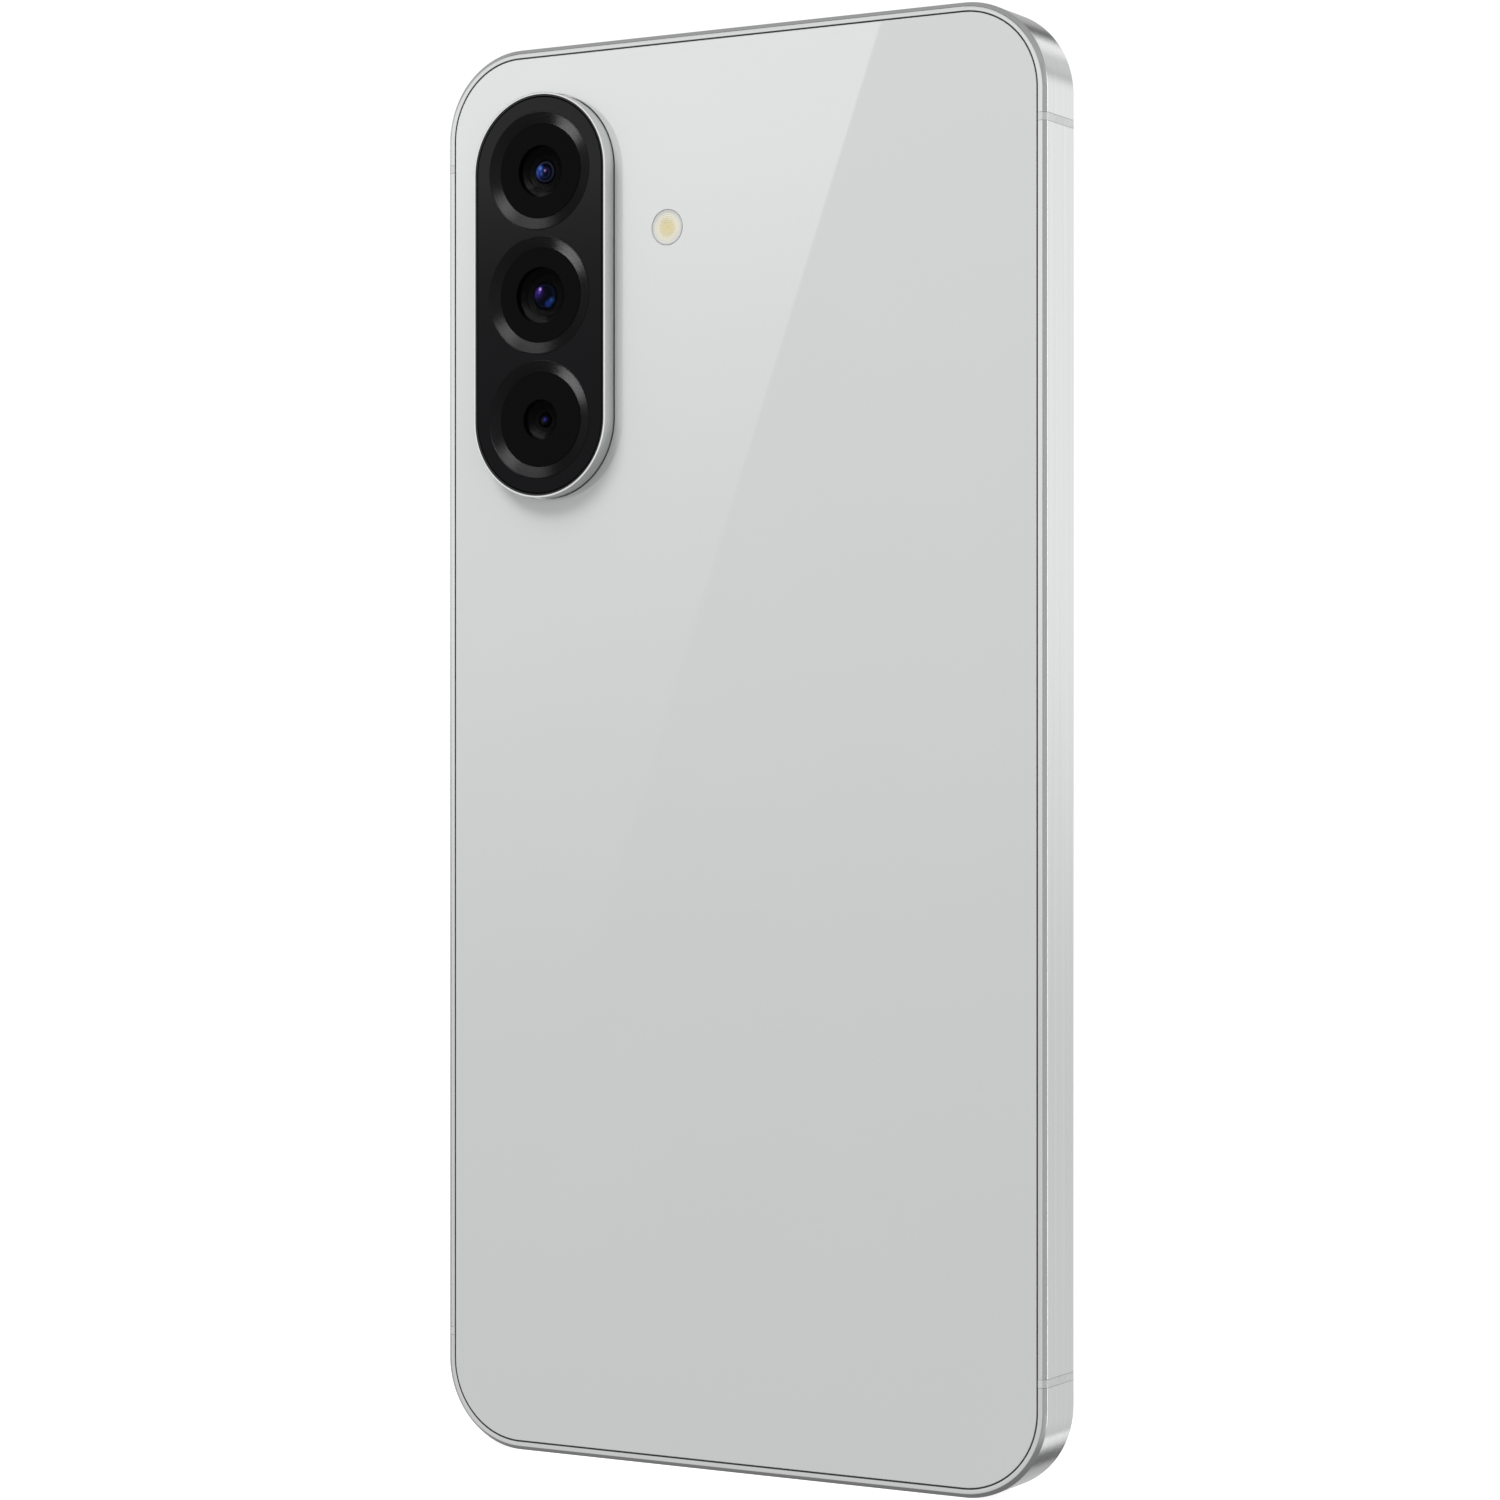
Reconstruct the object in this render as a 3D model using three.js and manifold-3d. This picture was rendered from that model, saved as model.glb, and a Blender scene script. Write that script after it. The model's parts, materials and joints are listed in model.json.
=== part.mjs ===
// A slab smartphone, standing upright on its bottom edge.
//
// Millimetres. +Z is up. The rear glass faces -Y and the display faces +Y, so +X is to the right of
// somebody who looks at the rear glass. The origin is the centre of the bounding box's bottom face.
//
// Every part is modelled about the middle of the body (half width, half height, half thickness). The
// outermost group then lifts the phone onto its bottom edge.

import * as THREE from 'three';
import { mergeVertices } from 'three/addons/utils/BufferGeometryUtils.js';
import Module from 'manifold-3d';

const wasm = await Module();
wasm.setup();

// ---------------------------------------------------------------- driving dimensions

const BODY = { width: 77.5, height: 162.2, depth: 7.4, corner: 10 };
const GAP = 0.05; // air between pieces that are fixed to each other
const FRAME = { chamferWidth: 0.5, chamferDepth: 0.41, lip: 0.98, wall: 2.6, ledge: 2.8 };
const GLASS_INSET = 1.08; // from the outer wall to the edge of either glass
const ANTENNA_BAND = { height: 0.92, level: 67.93 };

// Layers through the thickness: [towards the rear glass, towards the display].
const LAYER = {
  rearGlass: [-3.7, -3.05],
  rearAdhesive: [-3.0, -2.85],
  mainFlex: [-2.98, -2.86],
  topCover: [-2.8, -2.15],
  battery: [-2.75, 1.35],
  board: [0.2, 1.0],
  heatSpreader: [1.1, 1.38],
  midPlate: [1.45, 2.05],
  display: [2.2, 3.0],
  displayAdhesive: [2.85, 3.0],
  frontGlass: [3.05, 3.7],
};
const THROUGH = [-10, 10]; // a cut right through the thickness

// Raised camera deck: a stadium with one lens at each end and one in the middle.
const DECK = {
  x: -24.8,
  z: 52.3,
  pitch: 14.3,
  proud: 1.9,
  rimRadius: 9.0,
  rimChamfer: 0.2,
  glassRadius: 8.57,
  boreRadius: 7.4,
  flangeRadius: 9.8,
  windowRadius: 8.3,
  glass: [-5.55, -4.8],
};
const DECK_TOP = -BODY.depth / 2 - DECK.proud;
const LENS_RING = {
  outer: 6.825,
  inner: 5.33,
  seat: 4.7,
  top: -5.58,
  innerTop: -5.42,
  seatAt: -4.88,
  foot: -4.2,
};
const LENS_COVER = { radius: 5.28, layer: [-5.4, -4.93] };
const CAMERAS = [
  { name: 'ultrawide', row: 1, size: 9.0, barrel: 3.4, cone: 2.8, element: 1.3, foot: -1.2 },
  { name: 'main', row: 0, size: 11.5, barrel: 4.0, cone: 3.1, element: 1.55, foot: -0.6 },
  { name: 'macro', row: -1, size: 7.0, barrel: 2.6, cone: 2.15, element: 0.8, foot: -2.0 },
];
const BARREL = { top: -4.6, wall: 0.7, coneDepth: 0.3, throatEnd: 1.1, boreStart: 1.4 };
const ELEMENT = { rim: -4.25, back: -3.65, rise: 0.22, rings: 4 };
const HOUSING = { layer: [-4.1, 0.9], floor: 0.3, corner: 0.6, clearance: 0.15 };
const SENSOR = { carrier: [0.95, 1.35], die: [0.5, 1.0], dieWidth: 6.4, dieHeight: 4.8 };
const FLASH = { x: -8.7, z: 59.2, radius: 2.0, thick: 0.8, dish: 0.25, dishRadius: 1.1, shoulder: 1.5 };
const FLASH_LED = {
  carrier: 4.8,
  carrierLayer: [-2.35, -2.1],
  die: 1.9,
  dieLayer: [-2.75, -2.3],
  window: 5.2,
};

// Keys, on the side at -X. The island is the raised stretch of the frame that carries them.
const KEY_ISLAND = { proud: 0.35, height: 43, depth: 4.6, slope: 0.8, z: 24.2 };
const KEY = {
  proud: 0.3,
  depth: 2.4,
  clearance: 0.12,
  seat: 1.5,
  flange: 0.45,
  flangeLong: 0.9,
  flangeWide: 0.7,
  pocket: 1.05,
  pocketSpare: 0.5,
};
const VOLUME = { z: 33.1, length: 20 };
const POWER = { z: 11.1, length: 11.5 };

// Card tray, in the top edge.
const TRAY = { x: 20, y: -0.75, width: 13.8, depth: 1.3, length: 20, clearance: 0.2 };
const TRAY_BEZEL = { width: 16.4, depth: 2.0, height: 1.33, recess: 0.03, pinRadius: 0.4, pinX: 7.45 };
const TRAY_POCKET = {
  shoulder: 5,
  length: 12.6,
  rearWidth: 9.2,
  rearFloor: -0.02,
  frontWidth: 11.2,
  frontFloor: 0.2,
};
const READER = { wall: 0.2, spare: 0.3, outside: [-1.85, 0.15], inside: [-1.65, 0.0], z: [58.6, 77.4] };

// Sockets and holes of the bottom edge.
const USB = { width: 8.94, depth: 3.16, wall: 0.3, length: 6.5, recess: 0.2 };
const TONGUE = { width: 6.69, depth: 0.7, length: 4.5, setBack: 2, block: 0.9 };
const SPEAKER = { x: -18.6, holes: 6, pitch: 2.3, radius: 0.65 };
const MICROPHONE = { x: 8.6, topX: 4.5, radius: 0.45 };

const EARPIECE = { width: 12, slit: [80.0, 80.5], mesh: [80.16, 80.45], layer: [3.35, 3.5] };
const RECEIVER = { x: -10.3, z: 74.6, width: 12, height: 6.2, corner: 1, layer: [-1.2, 1.3] };
const FRONT_CAMERA = { z: 74.5, size: 6.2, barrel: 1.7, hole: 1.95, body: [-0.8, 1.3], top: 2.65 };
const FRONT_LENS = { radius: 1.15, layer: [2.7, 2.95], edge: 0.08, shoulder: 0.04 };

// Boards and what stands on them. BOARD_X is the width that is left between the side walls.
const BOARD_X = [-35.6, 35.6];
const MAIN_BOARD = {
  foot: 31.2,
  windowX: [-31.4, -18.2],
  windowZ: [32.6, 72.2],
  notchX: [-17, 4.4],
  notchZ: 70.6,
};
const SUB_BOARD = { x: [-7, 35.6], top: -59.6 };
const SHIELD = { wall: 0.2, rear: -1.35 };
const SHIELD_AT = {
  board_shield_processor: { x: [-14.5, 10], z: [40.5, 56] },
  board_shield_radio: { x: [13, 30.5], z: [36, 57] },
};
const HEAT_SPREADER = { x: 8, z: 54.5, width: 43, height: 30, corner: 2 };
const TOP_COVER_FOOT = 34.6;
const FLEX = { x: [2, 11], z: [-58.7, 31.0], thick: 0.3, upperFoot: 35, lowerFoot: -63 };
const BATTERY = { width: 66.5, height: 88, z: -13.6, corner: 1.6, stepTo: -1.2, stepHeight: 4 };
const LOUDSPEAKER = { x: [-35, -8.2], layer: [-2.8, 1.3], top: -60.2, port: 0.9, portLength: 5 };
const MICROPHONE_CAN = { half: 1.7, rear: -0.9, z: [-77.9, -75.4], portY: -0.35 };
const KEY_FLEX = { thick: 0.25, half: 1.3, z: [3, 45], dome: 1.1, domeHeight: 0.5, reach: 6.5 };
const MOTOR = { x: 23, z: -71.5, width: 16, height: 9, layer: [-2.6, 0.1], wall: 0.3, stroke: 0.5 };

// Screws: [x, z]. Each runs from its counterbore into the mid plate.
const SCREW = { head: 1.1, headDepth: 0.4, shank: 0.6, socket: 0.45, tip: 1.95 };
const SCREW_SEAT = LAYER.topCover[0] + SCREW.headDepth + GAP;
const SCREW_AT = {
  top_cover_screw_left: [-12, 37],
  top_cover_screw_right: [32.3, 38],
  speaker_screw: [-11.2, -63],
};

const CORNER_STEPS = 8; // per quarter turn of a body corner
const ROUND_STEPS = 32; // per full turn of a lens part
const MEDIUM_STEPS = 24; // per full turn of a lens element or a bore
const SMALL_STEPS = 12; // per full turn of a hole or a screw

// Colours and finishes.
const FINISH = {
  aluminium: { color: 0xd8dadb, roughness: 0.34, metalness: 1 },
  antennaPlastic: { color: 0xbdbfbf, roughness: 0.5, metalness: 0 },
  rearGlass: { color: 0xd2d5d4, roughness: 0.12, metalness: 0 },
  deckRim: { color: 0xdcdede, roughness: 0.25, metalness: 1 },
  blackGlass: { color: 0x17171a, roughness: 0.08, metalness: 0 },
  darkRing: { color: 0x2c2c2e, roughness: 0.3, metalness: 1 },
  lensGlass: { color: 0x0b0b0d, roughness: 0.03, metalness: 0 },
  lensCoating: { color: 0x17225e, roughness: 0.05, metalness: 0 },
  blackPlastic: { color: 0x1a1a1b, roughness: 0.55, metalness: 0 },
  flashLens: { color: 0xe6e1c8, roughness: 0.25, metalness: 0 },
  phosphor: { color: 0xd9c262, roughness: 0.6, metalness: 0 },
  display: { color: 0x08080a, roughness: 0.2, metalness: 0 },
  adhesive: { color: 0x202021, roughness: 0.85, metalness: 0 },
  castMetal: { color: 0x9a9c9e, roughness: 0.5, metalness: 1 },
  steel: { color: 0xb4b6b8, roughness: 0.35, metalness: 1 },
  board: { color: 0x1f3a2c, roughness: 0.55, metalness: 0 },
  battery: { color: 0x2b2c2e, roughness: 0.45, metalness: 0 },
  flex: { color: 0x8a5a24, roughness: 0.5, metalness: 0 },
  copper: { color: 0xb87333, roughness: 0.35, metalness: 1 },
};

// ---------------------------------------------------------------- shapes and booleans

function mesh(name, geometry, finish) {
  const part = new THREE.Mesh(geometry, new THREE.MeshStandardMaterial(finish));
  part.name = name;
  return part;
}

// A closed solid for the boolean library: positions only, with shared vertices merged.
function solidOf(geometry) {
  const bare = geometry.clone();
  bare.deleteAttribute('normal');
  bare.deleteAttribute('uv');
  const merged = mergeVertices(bare, 1e-4);
  const vertProperties = new Float32Array(merged.attributes.position.array);
  const triVerts = Uint32Array.from(merged.index.array);
  return new wasm.Manifold(new wasm.Mesh({ numProp: 3, vertProperties, triVerts }));
}

function geometryOf(solid) {
  const { vertProperties, triVerts } = solid.getMesh();
  const geometry = new THREE.BufferGeometry();
  geometry.setAttribute('position', new THREE.BufferAttribute(new Float32Array(vertProperties), 3));
  geometry.setIndex(new THREE.BufferAttribute(new Uint32Array(triVerts), 1));
  geometry.computeVertexNormals();
  return geometry;
}

function join(base, ...others) {
  return geometryOf(others.reduce((sum, other) => sum.add(solidOf(other)), solidOf(base)));
}

function cut(base, ...tools) {
  return geometryOf(tools.reduce((rest, tool) => rest.subtract(solidOf(tool)), solidOf(base)));
}

function common(first, second) {
  return geometryOf(solidOf(first).intersect(solidOf(second)));
}

// Outline of a rectangle with round corners in the X-Z plane, anticlockwise. With a radius of half its
// width it is a stadium.
function roundedOutline(width, height, radius, steps = CORNER_STEPS) {
  const points = [];
  const corners = [[1, -1], [1, 1], [-1, 1], [-1, -1]];
  corners.forEach(([sideX, sideZ], quarter) => {
    const x = sideX * (width / 2 - radius);
    const z = sideZ * (height / 2 - radius);
    for (let step = 0; step <= steps; step += 1) {
      const angle = ((quarter - 1 + step / steps) * Math.PI) / 2;
      const point = new THREE.Vector2(x + radius * Math.cos(angle), z + radius * Math.sin(angle));
      const last = points[points.length - 1];
      if (!last || last.distanceTo(point) > 1e-6) {
        points.push(point);
      }
    }
  });
  if (points[0].distanceTo(points[points.length - 1]) < 1e-6) {
    points.pop();
  }
  return new THREE.Shape(points);
}

// A shape of the X-Z plane given thickness along Y, optionally with both its edges chamfered.
function slab(shape, [rear, front], chamfer = null) {
  const width = chamfer ? chamfer.width : 0;
  const depth = chamfer ? chamfer.depth : 0;
  const geometry = new THREE.ExtrudeGeometry(shape, {
    depth: front - rear - 2 * depth,
    bevelEnabled: Boolean(chamfer),
    bevelThickness: depth,
    bevelSize: width,
    bevelOffset: -width,
    bevelSegments: 1,
  });
  geometry.rotateX(Math.PI / 2);
  geometry.translate(0, front - depth, 0);
  return geometry;
}

// The body's outline, moved inwards.
function bodyOutline(inset) {
  const radius = BODY.corner - inset;
  return roundedOutline(BODY.width - 2 * inset, BODY.height - 2 * inset, radius);
}

// The deck's outline at a radius, centred on the deck.
function stadiumOutline(radius, straight = 2 * DECK.pitch, steps = CORNER_STEPS) {
  return roundedOutline(2 * radius, straight + 2 * radius, radius, steps);
}

function box([x0, x1], [y0, y1], [z0, z1]) {
  const geometry = new THREE.BoxGeometry(x1 - x0, y1 - y0, z1 - z0);
  return geometry.translate((x0 + x1) / 2, (y0 + y1) / 2, (z0 + z1) / 2);
}

function centredBox(x, width, layer, z, height) {
  return box([x - width / 2, x + width / 2], layer, [z - height / 2, z + height / 2]);
}

// A cylinder along Y.
function post(radius, [rear, front], x = 0, z = 0, steps = SMALL_STEPS) {
  const geometry = new THREE.CylinderGeometry(radius, radius, front - rear, steps);
  return geometry.translate(x, (rear + front) / 2, z);
}

// A cylinder along Z.
function pole(radius, [low, high], x, y, steps = SMALL_STEPS) {
  const geometry = new THREE.CylinderGeometry(radius, radius, high - low, steps);
  return geometry.rotateX(Math.PI / 2).translate(x, y, (low + high) / 2);
}

// A stadium outline of the Y-Z plane given thickness along X: keys and their slots.
function keySlab(length, depth, [x0, x1], z = 0) {
  const shape = roundedOutline(depth, length, depth / 2, CORNER_STEPS / 2);
  const geometry = slab(shape, [x0, x1]);
  return geometry.rotateZ(-Math.PI / 2).translate(0, 0, z);
}

// A turned part about the Y axis. Its [radius, y] points start and end on the axis, or close on themselves.
function turned(points, steps = ROUND_STEPS) {
  const profile = points.map(([radius, y]) => new THREE.Vector2(radius, y));
  if (THREE.ShapeUtils.isClockWise(profile)) {
    profile.reverse();
  }
  if (profile[0].x > 0) {
    profile.push(profile[0].clone());
  }
  return new THREE.LatheGeometry(profile, steps);
}

function placed(geometry, x, z) {
  return geometry.translate(x, 0, z);
}

// ---------------------------------------------------------------- frame

// The whole ring before it is cut into rails and bands: an outer block with chamfered edges, a pocket
// for each glass, and the opening between them.
function frameRing() {
  const half = BODY.depth / 2;
  const chamfer = { width: FRAME.chamferWidth, depth: FRAME.chamferDepth };
  const block = slab(bodyOutline(0), [-half, half], chamfer);
  const rearPocket = slab(bodyOutline(FRAME.lip), [-half - 1, -FRAME.ledge]);
  const frontPocket = slab(bodyOutline(FRAME.lip), [FRAME.ledge, half + 1]);
  const opening = slab(bodyOutline(FRAME.wall), THROUGH);
  return cut(block, rearPocket, frontPocket, opening);
}

// The stretch of the ring inside a box given by its X range and its Z range.
function ringPart(ring, xRange, zRange) {
  return common(ring, box(xRange, THROUGH, zRange));
}

const LEFT = [-60, -20];
const RIGHT = [20, 60];
const ALL_X = [-60, 60];
const OUTER_WALL = BODY.width / 2;
const EDGE = BODY.height / 2;
const BAND_LOW = ANTENNA_BAND.level - ANTENNA_BAND.height / 2;
const BAND_HIGH = ANTENNA_BAND.level + ANTENNA_BAND.height / 2;
const SIDE_RANGE = [-BAND_LOW, BAND_LOW];

// The raised island that carries the keys: a low plateau with sloping sides.
function keyIsland() {
  const inside = 1.5;
  const shape = roundedOutline(KEY_ISLAND.depth, KEY_ISLAND.height, KEY_ISLAND.depth / 2, CORNER_STEPS / 2);
  const plateau = new THREE.ExtrudeGeometry(shape, {
    depth: inside,
    bevelEnabled: true,
    bevelThickness: KEY_ISLAND.proud,
    bevelSize: KEY_ISLAND.slope,
    bevelOffset: -KEY_ISLAND.slope,
    bevelSegments: 1,
  });
  plateau.rotateX(Math.PI / 2).rotateZ(-Math.PI / 2);
  return plateau.translate(inside - OUTER_WALL, 0, KEY_ISLAND.z);
}

// A key's way through the wall, with a wider pocket behind it for the flange that keeps the key in.
function keySlot(key) {
  const spare = 2 * KEY.clearance;
  const inside = -OUTER_WALL + FRAME.wall + 1;
  const pocketFloor = -OUTER_WALL + KEY.pocket;
  const pocketLength = key.length + KEY.flangeLong + KEY.pocketSpare;
  const pocketDepth = KEY.depth + KEY.flangeWide + KEY.pocketSpare;
  const slot = keySlab(key.length + spare, KEY.depth + spare, [-OUTER_WALL - 2, inside], key.z);
  const pocket = keySlab(pocketLength, pocketDepth, [pocketFloor, inside], key.z);
  return join(slot, pocket);
}

function frameLeftRail(ring) {
  const rail = join(ringPart(ring, LEFT, SIDE_RANGE), keyIsland());
  return mesh('frame_left_rail', cut(rail, keySlot(VOLUME), keySlot(POWER)), FINISH.aluminium);
}

function frameRightRail(ring) {
  return mesh('frame_right_rail', ringPart(ring, RIGHT, SIDE_RANGE), FINISH.aluminium);
}

function frameTopRail(ring) {
  const rail = ringPart(ring, ALL_X, [BAND_HIGH + GAP, EDGE + 1]);
  const wayHalf = TRAY.depth / 2 + TRAY.clearance;
  const wayLayer = [TRAY.y - wayHalf, TRAY.y + wayHalf];
  const trayWay = centredBox(TRAY.x, TRAY.width + 2 * TRAY.clearance, wayLayer, EDGE - 2, 8);
  const half = EARPIECE.width / 2;
  const slit = box([-half, half], [3.15, 5], EARPIECE.slit);
  const soundWay = box([1 - half, half - 1], [2.3, 3.3], [EDGE - 4, EARPIECE.slit[1] - 0.1]);
  const micHole = pole(MICROPHONE.radius, [EDGE - 4, EDGE + 1], MICROPHONE.topX, 0);
  return mesh(
    'frame_top_rail',
    cut(rail, bezelRecess(), trayWay, slit, soundWay, micHole),
    FINISH.aluminium,
  );
}

function frameBottomRail(ring) {
  const rail = ringPart(ring, ALL_X, [-EDGE - 1, -BAND_HIGH - GAP]);
  const socket = edgeSlab(USB.width + 4 * GAP, USB.depth + 4 * GAP, [-EDGE - 1, -EDGE + 4], 0, 0);
  const holes = [pole(MICROPHONE.radius, [-EDGE - 1, -EDGE + 4], MICROPHONE.x, 0)];
  for (let hole = 0; hole < SPEAKER.holes; hole += 1) {
    const x = SPEAKER.x + (hole - (SPEAKER.holes - 1) / 2) * SPEAKER.pitch;
    holes.push(pole(SPEAKER.radius, [-EDGE - 1, -EDGE + 4], x, 0));
  }
  return mesh('frame_bottom_rail', cut(rail, socket, ...holes), FINISH.aluminium);
}

// A stadium outline of the X-Y plane given thickness along Z: whatever lies in the top or bottom edge.
function edgeSlab(width, depth, [low, high], x, y) {
  const shape = roundedOutline(width, depth, depth / 2, CORNER_STEPS / 2);
  const geometry = new THREE.ExtrudeGeometry(shape, { depth: high - low, bevelEnabled: false });
  return geometry.translate(x, y, low);
}

function bezelRecess() {
  const floor = EDGE - TRAY_BEZEL.recess - TRAY_BEZEL.height - GAP;
  const width = TRAY_BEZEL.width + 2 * GAP;
  return edgeSlab(width, TRAY_BEZEL.depth + 2 * GAP, [floor, EDGE + 1], TRAY.x, TRAY.y);
}

function antennaBands(ring) {
  const sides = { left: LEFT, right: RIGHT };
  const levels = { top: [BAND_LOW + GAP, BAND_HIGH], bottom: [-BAND_HIGH, -BAND_LOW - GAP] };
  const bands = [];
  for (const [level, zRange] of Object.entries(levels)) {
    for (const [side, xRange] of Object.entries(sides)) {
      const band = ringPart(ring, xRange, zRange);
      bands.push(mesh(`antenna_band_${level}_${side}`, band, FINISH.antennaPlastic));
    }
  }
  return bands;
}

function midPlate() {
  const plate = slab(bodyOutline(FRAME.wall + 0.1), LAYER.midPlate);
  const cameraHole = post(FRONT_CAMERA.barrel + 0.3, THROUGH, 0, FRONT_CAMERA.z, MEDIUM_STEPS);
  const socketNotch = centredBox(0, USB.width + 1, THROUGH, -EDGE + 3, 8.6);
  const soundWay = centredBox(0, EARPIECE.width - 2, THROUGH, EDGE - 2, 3.2);
  const screwHoles = Object.values(SCREW_AT).map(([x, z]) => post(SCREW.shank + GAP, THROUGH, x, z));
  return mesh('mid_plate', cut(plate, cameraHole, socketNotch, soundWay, ...screwHoles), FINISH.castMetal);
}

const frame = new THREE.Group();
const ring = frameRing();
frame.add(frameTopRail(ring), frameBottomRail(ring), frameLeftRail(ring), frameRightRail(ring));
frame.add(...antennaBands(ring), midPlate());

// ---------------------------------------------------------------- rear glass and flash

function rearGlass() {
  const plate = slab(bodyOutline(GLASS_INSET), LAYER.rearGlass);
  const deckHole = placed(slab(stadiumOutline(DECK.rimRadius + GAP), THROUGH), DECK.x, DECK.z);
  const flashHole = post(FLASH.radius + GAP, THROUGH, FLASH.x, FLASH.z, ROUND_STEPS);
  return mesh('rear_glass', cut(plate, deckHole, flashHole), FINISH.rearGlass);
}

function gasket(name, layer) {
  const outside = slab(bodyOutline(GLASS_INSET + 0.07), layer);
  return mesh(name, cut(outside, slab(bodyOutline(2.5), THROUGH)), FINISH.adhesive);
}

function flashLens() {
  const [rear] = LAYER.rearGlass;
  const foot = rear + FLASH.thick;
  const profile = [
    [0, rear],
    [FLASH.radius, rear],
    [FLASH.radius, foot],
    [FLASH.shoulder, foot],
    [FLASH.dishRadius, foot - FLASH.dish],
    [0, foot - FLASH.dish],
  ];
  return mesh('flash_lens', turned(profile), FINISH.flashLens);
}

function flashLed() {
  const carrier = centredBox(0, FLASH_LED.carrier, FLASH_LED.carrierLayer, 0, FLASH_LED.carrier);
  const die = centredBox(0, FLASH_LED.die, FLASH_LED.dieLayer, 0, FLASH_LED.die);
  return mesh('flash_led', join(carrier, die), FINISH.phosphor);
}

const flash = new THREE.Group();
flash.position.set(FLASH.x, 0, FLASH.z);
flash.add(flashLens(), flashLed());

// ---------------------------------------------------------------- camera deck

// A wall that comes up through the rear glass with a pocket for the deck glass in it, and the flange
// that is bonded to the inside of the rear glass.
function deckRim() {
  const chamfer = { width: DECK.rimChamfer, depth: DECK.rimChamfer };
  const flangeLayer = [LAYER.rearGlass[1] + GAP, LAYER.rearAdhesive[1]];
  const column = slab(stadiumOutline(DECK.rimRadius), [DECK_TOP, LAYER.board[0]], chamfer);
  const block = slab(stadiumOutline(DECK.flangeRadius), [THROUGH[0], flangeLayer[1]]);
  const wall = common(column, block);
  const flange = slab(stadiumOutline(DECK.flangeRadius), flangeLayer);
  const pocket = slab(stadiumOutline(DECK.glassRadius + GAP), [THROUGH[0], DECK.glass[1] + GAP]);
  const bore = slab(stadiumOutline(DECK.boreRadius), THROUGH);
  return mesh('camera_deck_rim', cut(join(wall, flange), pocket, bore), FINISH.deckRim);
}

function deckGlass() {
  const plate = slab(stadiumOutline(DECK.glassRadius), DECK.glass);
  const holes = CAMERAS.map(({ row }) => {
    return post(LENS_RING.outer + GAP, THROUGH, 0, row * DECK.pitch, ROUND_STEPS);
  });
  return mesh('camera_deck_glass', cut(plate, ...holes), FINISH.blackGlass);
}

function lensRing(name) {
  const { outer, inner, seat, top, innerTop, seatAt, foot } = LENS_RING;
  const profile = [
    [outer, foot],
    [outer, top],
    [inner, innerTop],
    [inner, seatAt],
    [seat, seatAt],
    [seat, foot],
  ];
  return mesh(`lens_ring_${name}`, turned(profile), FINISH.darkRing);
}

function lensCover(name) {
  const disc = post(LENS_COVER.radius, LENS_COVER.layer, 0, 0, ROUND_STEPS);
  return mesh(`lens_cover_${name}`, disc, FINISH.lensGlass);
}

// A tube with a conical mouth. The front element sits at the bottom of the cone.
function lensBarrel({ name, barrel, cone, element, foot }) {
  const throat = element + GAP / 2;
  const bore = barrel - BARREL.wall;
  const profile = [
    [barrel, foot],
    [barrel, BARREL.top],
    [cone, BARREL.top],
    [throat, BARREL.top + BARREL.coneDepth],
    [throat, BARREL.top + BARREL.throatEnd],
    [bore, BARREL.top + BARREL.boreStart],
    [bore, foot],
  ];
  return mesh(`lens_barrel_${name}`, turned(profile), FINISH.blackPlastic);
}

// A plano-convex glass, with its dome towards the rear.
function lensElement({ name, element }) {
  const { rim, back, rise, rings } = ELEMENT;
  const profile = [[0, back], [element, back], [element, rim]];
  for (let step = rings - 1; step > 0; step -= 1) {
    const radius = (element * step) / rings;
    profile.push([radius, rim - rise * (1 - (step / rings) ** 2)]);
  }
  profile.push([0, rim - rise]);
  return mesh(`lens_element_${name}`, turned(profile, MEDIUM_STEPS), FINISH.lensCoating);
}

function cameraHousing({ name, size, barrel }) {
  const shell = slab(roundedOutline(size, size, HOUSING.corner, 2), HOUSING.layer);
  const floor = name === 'main' ? THROUGH[1] : HOUSING.floor;
  const bore = post(barrel + HOUSING.clearance, [THROUGH[0], floor], 0, 0, MEDIUM_STEPS);
  return mesh(`camera_housing_${name}`, cut(shell, bore), FINISH.blackPlastic);
}

function imageSensor({ name, size }) {
  const carrier = centredBox(0, size - 2 * GAP, SENSOR.carrier, 0, size - 2 * GAP);
  const die = centredBox(0, SENSOR.dieWidth, SENSOR.die, 0, SENSOR.dieHeight);
  return mesh(`image_sensor_${name}`, join(carrier, die), FINISH.board);
}

function cameraModule(camera) {
  const module = new THREE.Group();
  module.position.z = camera.row * DECK.pitch;
  module.add(lensRing(camera.name), lensCover(camera.name));
  module.add(lensBarrel(camera), lensElement(camera), cameraHousing(camera));
  if (camera.name === 'main') {
    module.add(imageSensor(camera));
  }
  return module;
}

const deck = new THREE.Group();
deck.position.set(DECK.x, 0, DECK.z);
deck.add(deckRim(), deckGlass(), ...CAMERAS.map(cameraModule));

// ---------------------------------------------------------------- front

function frontGlass() {
  return mesh('front_glass', slab(bodyOutline(GLASS_INSET), LAYER.frontGlass), FINISH.blackGlass);
}

function displayPanel() {
  const panel = slab(bodyOutline(FRAME.wall + 0.15), LAYER.display);
  const hole = post(FRONT_CAMERA.hole, THROUGH, 0, FRONT_CAMERA.z, MEDIUM_STEPS);
  return mesh('display_panel', cut(panel, hole), FINISH.display);
}

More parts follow.
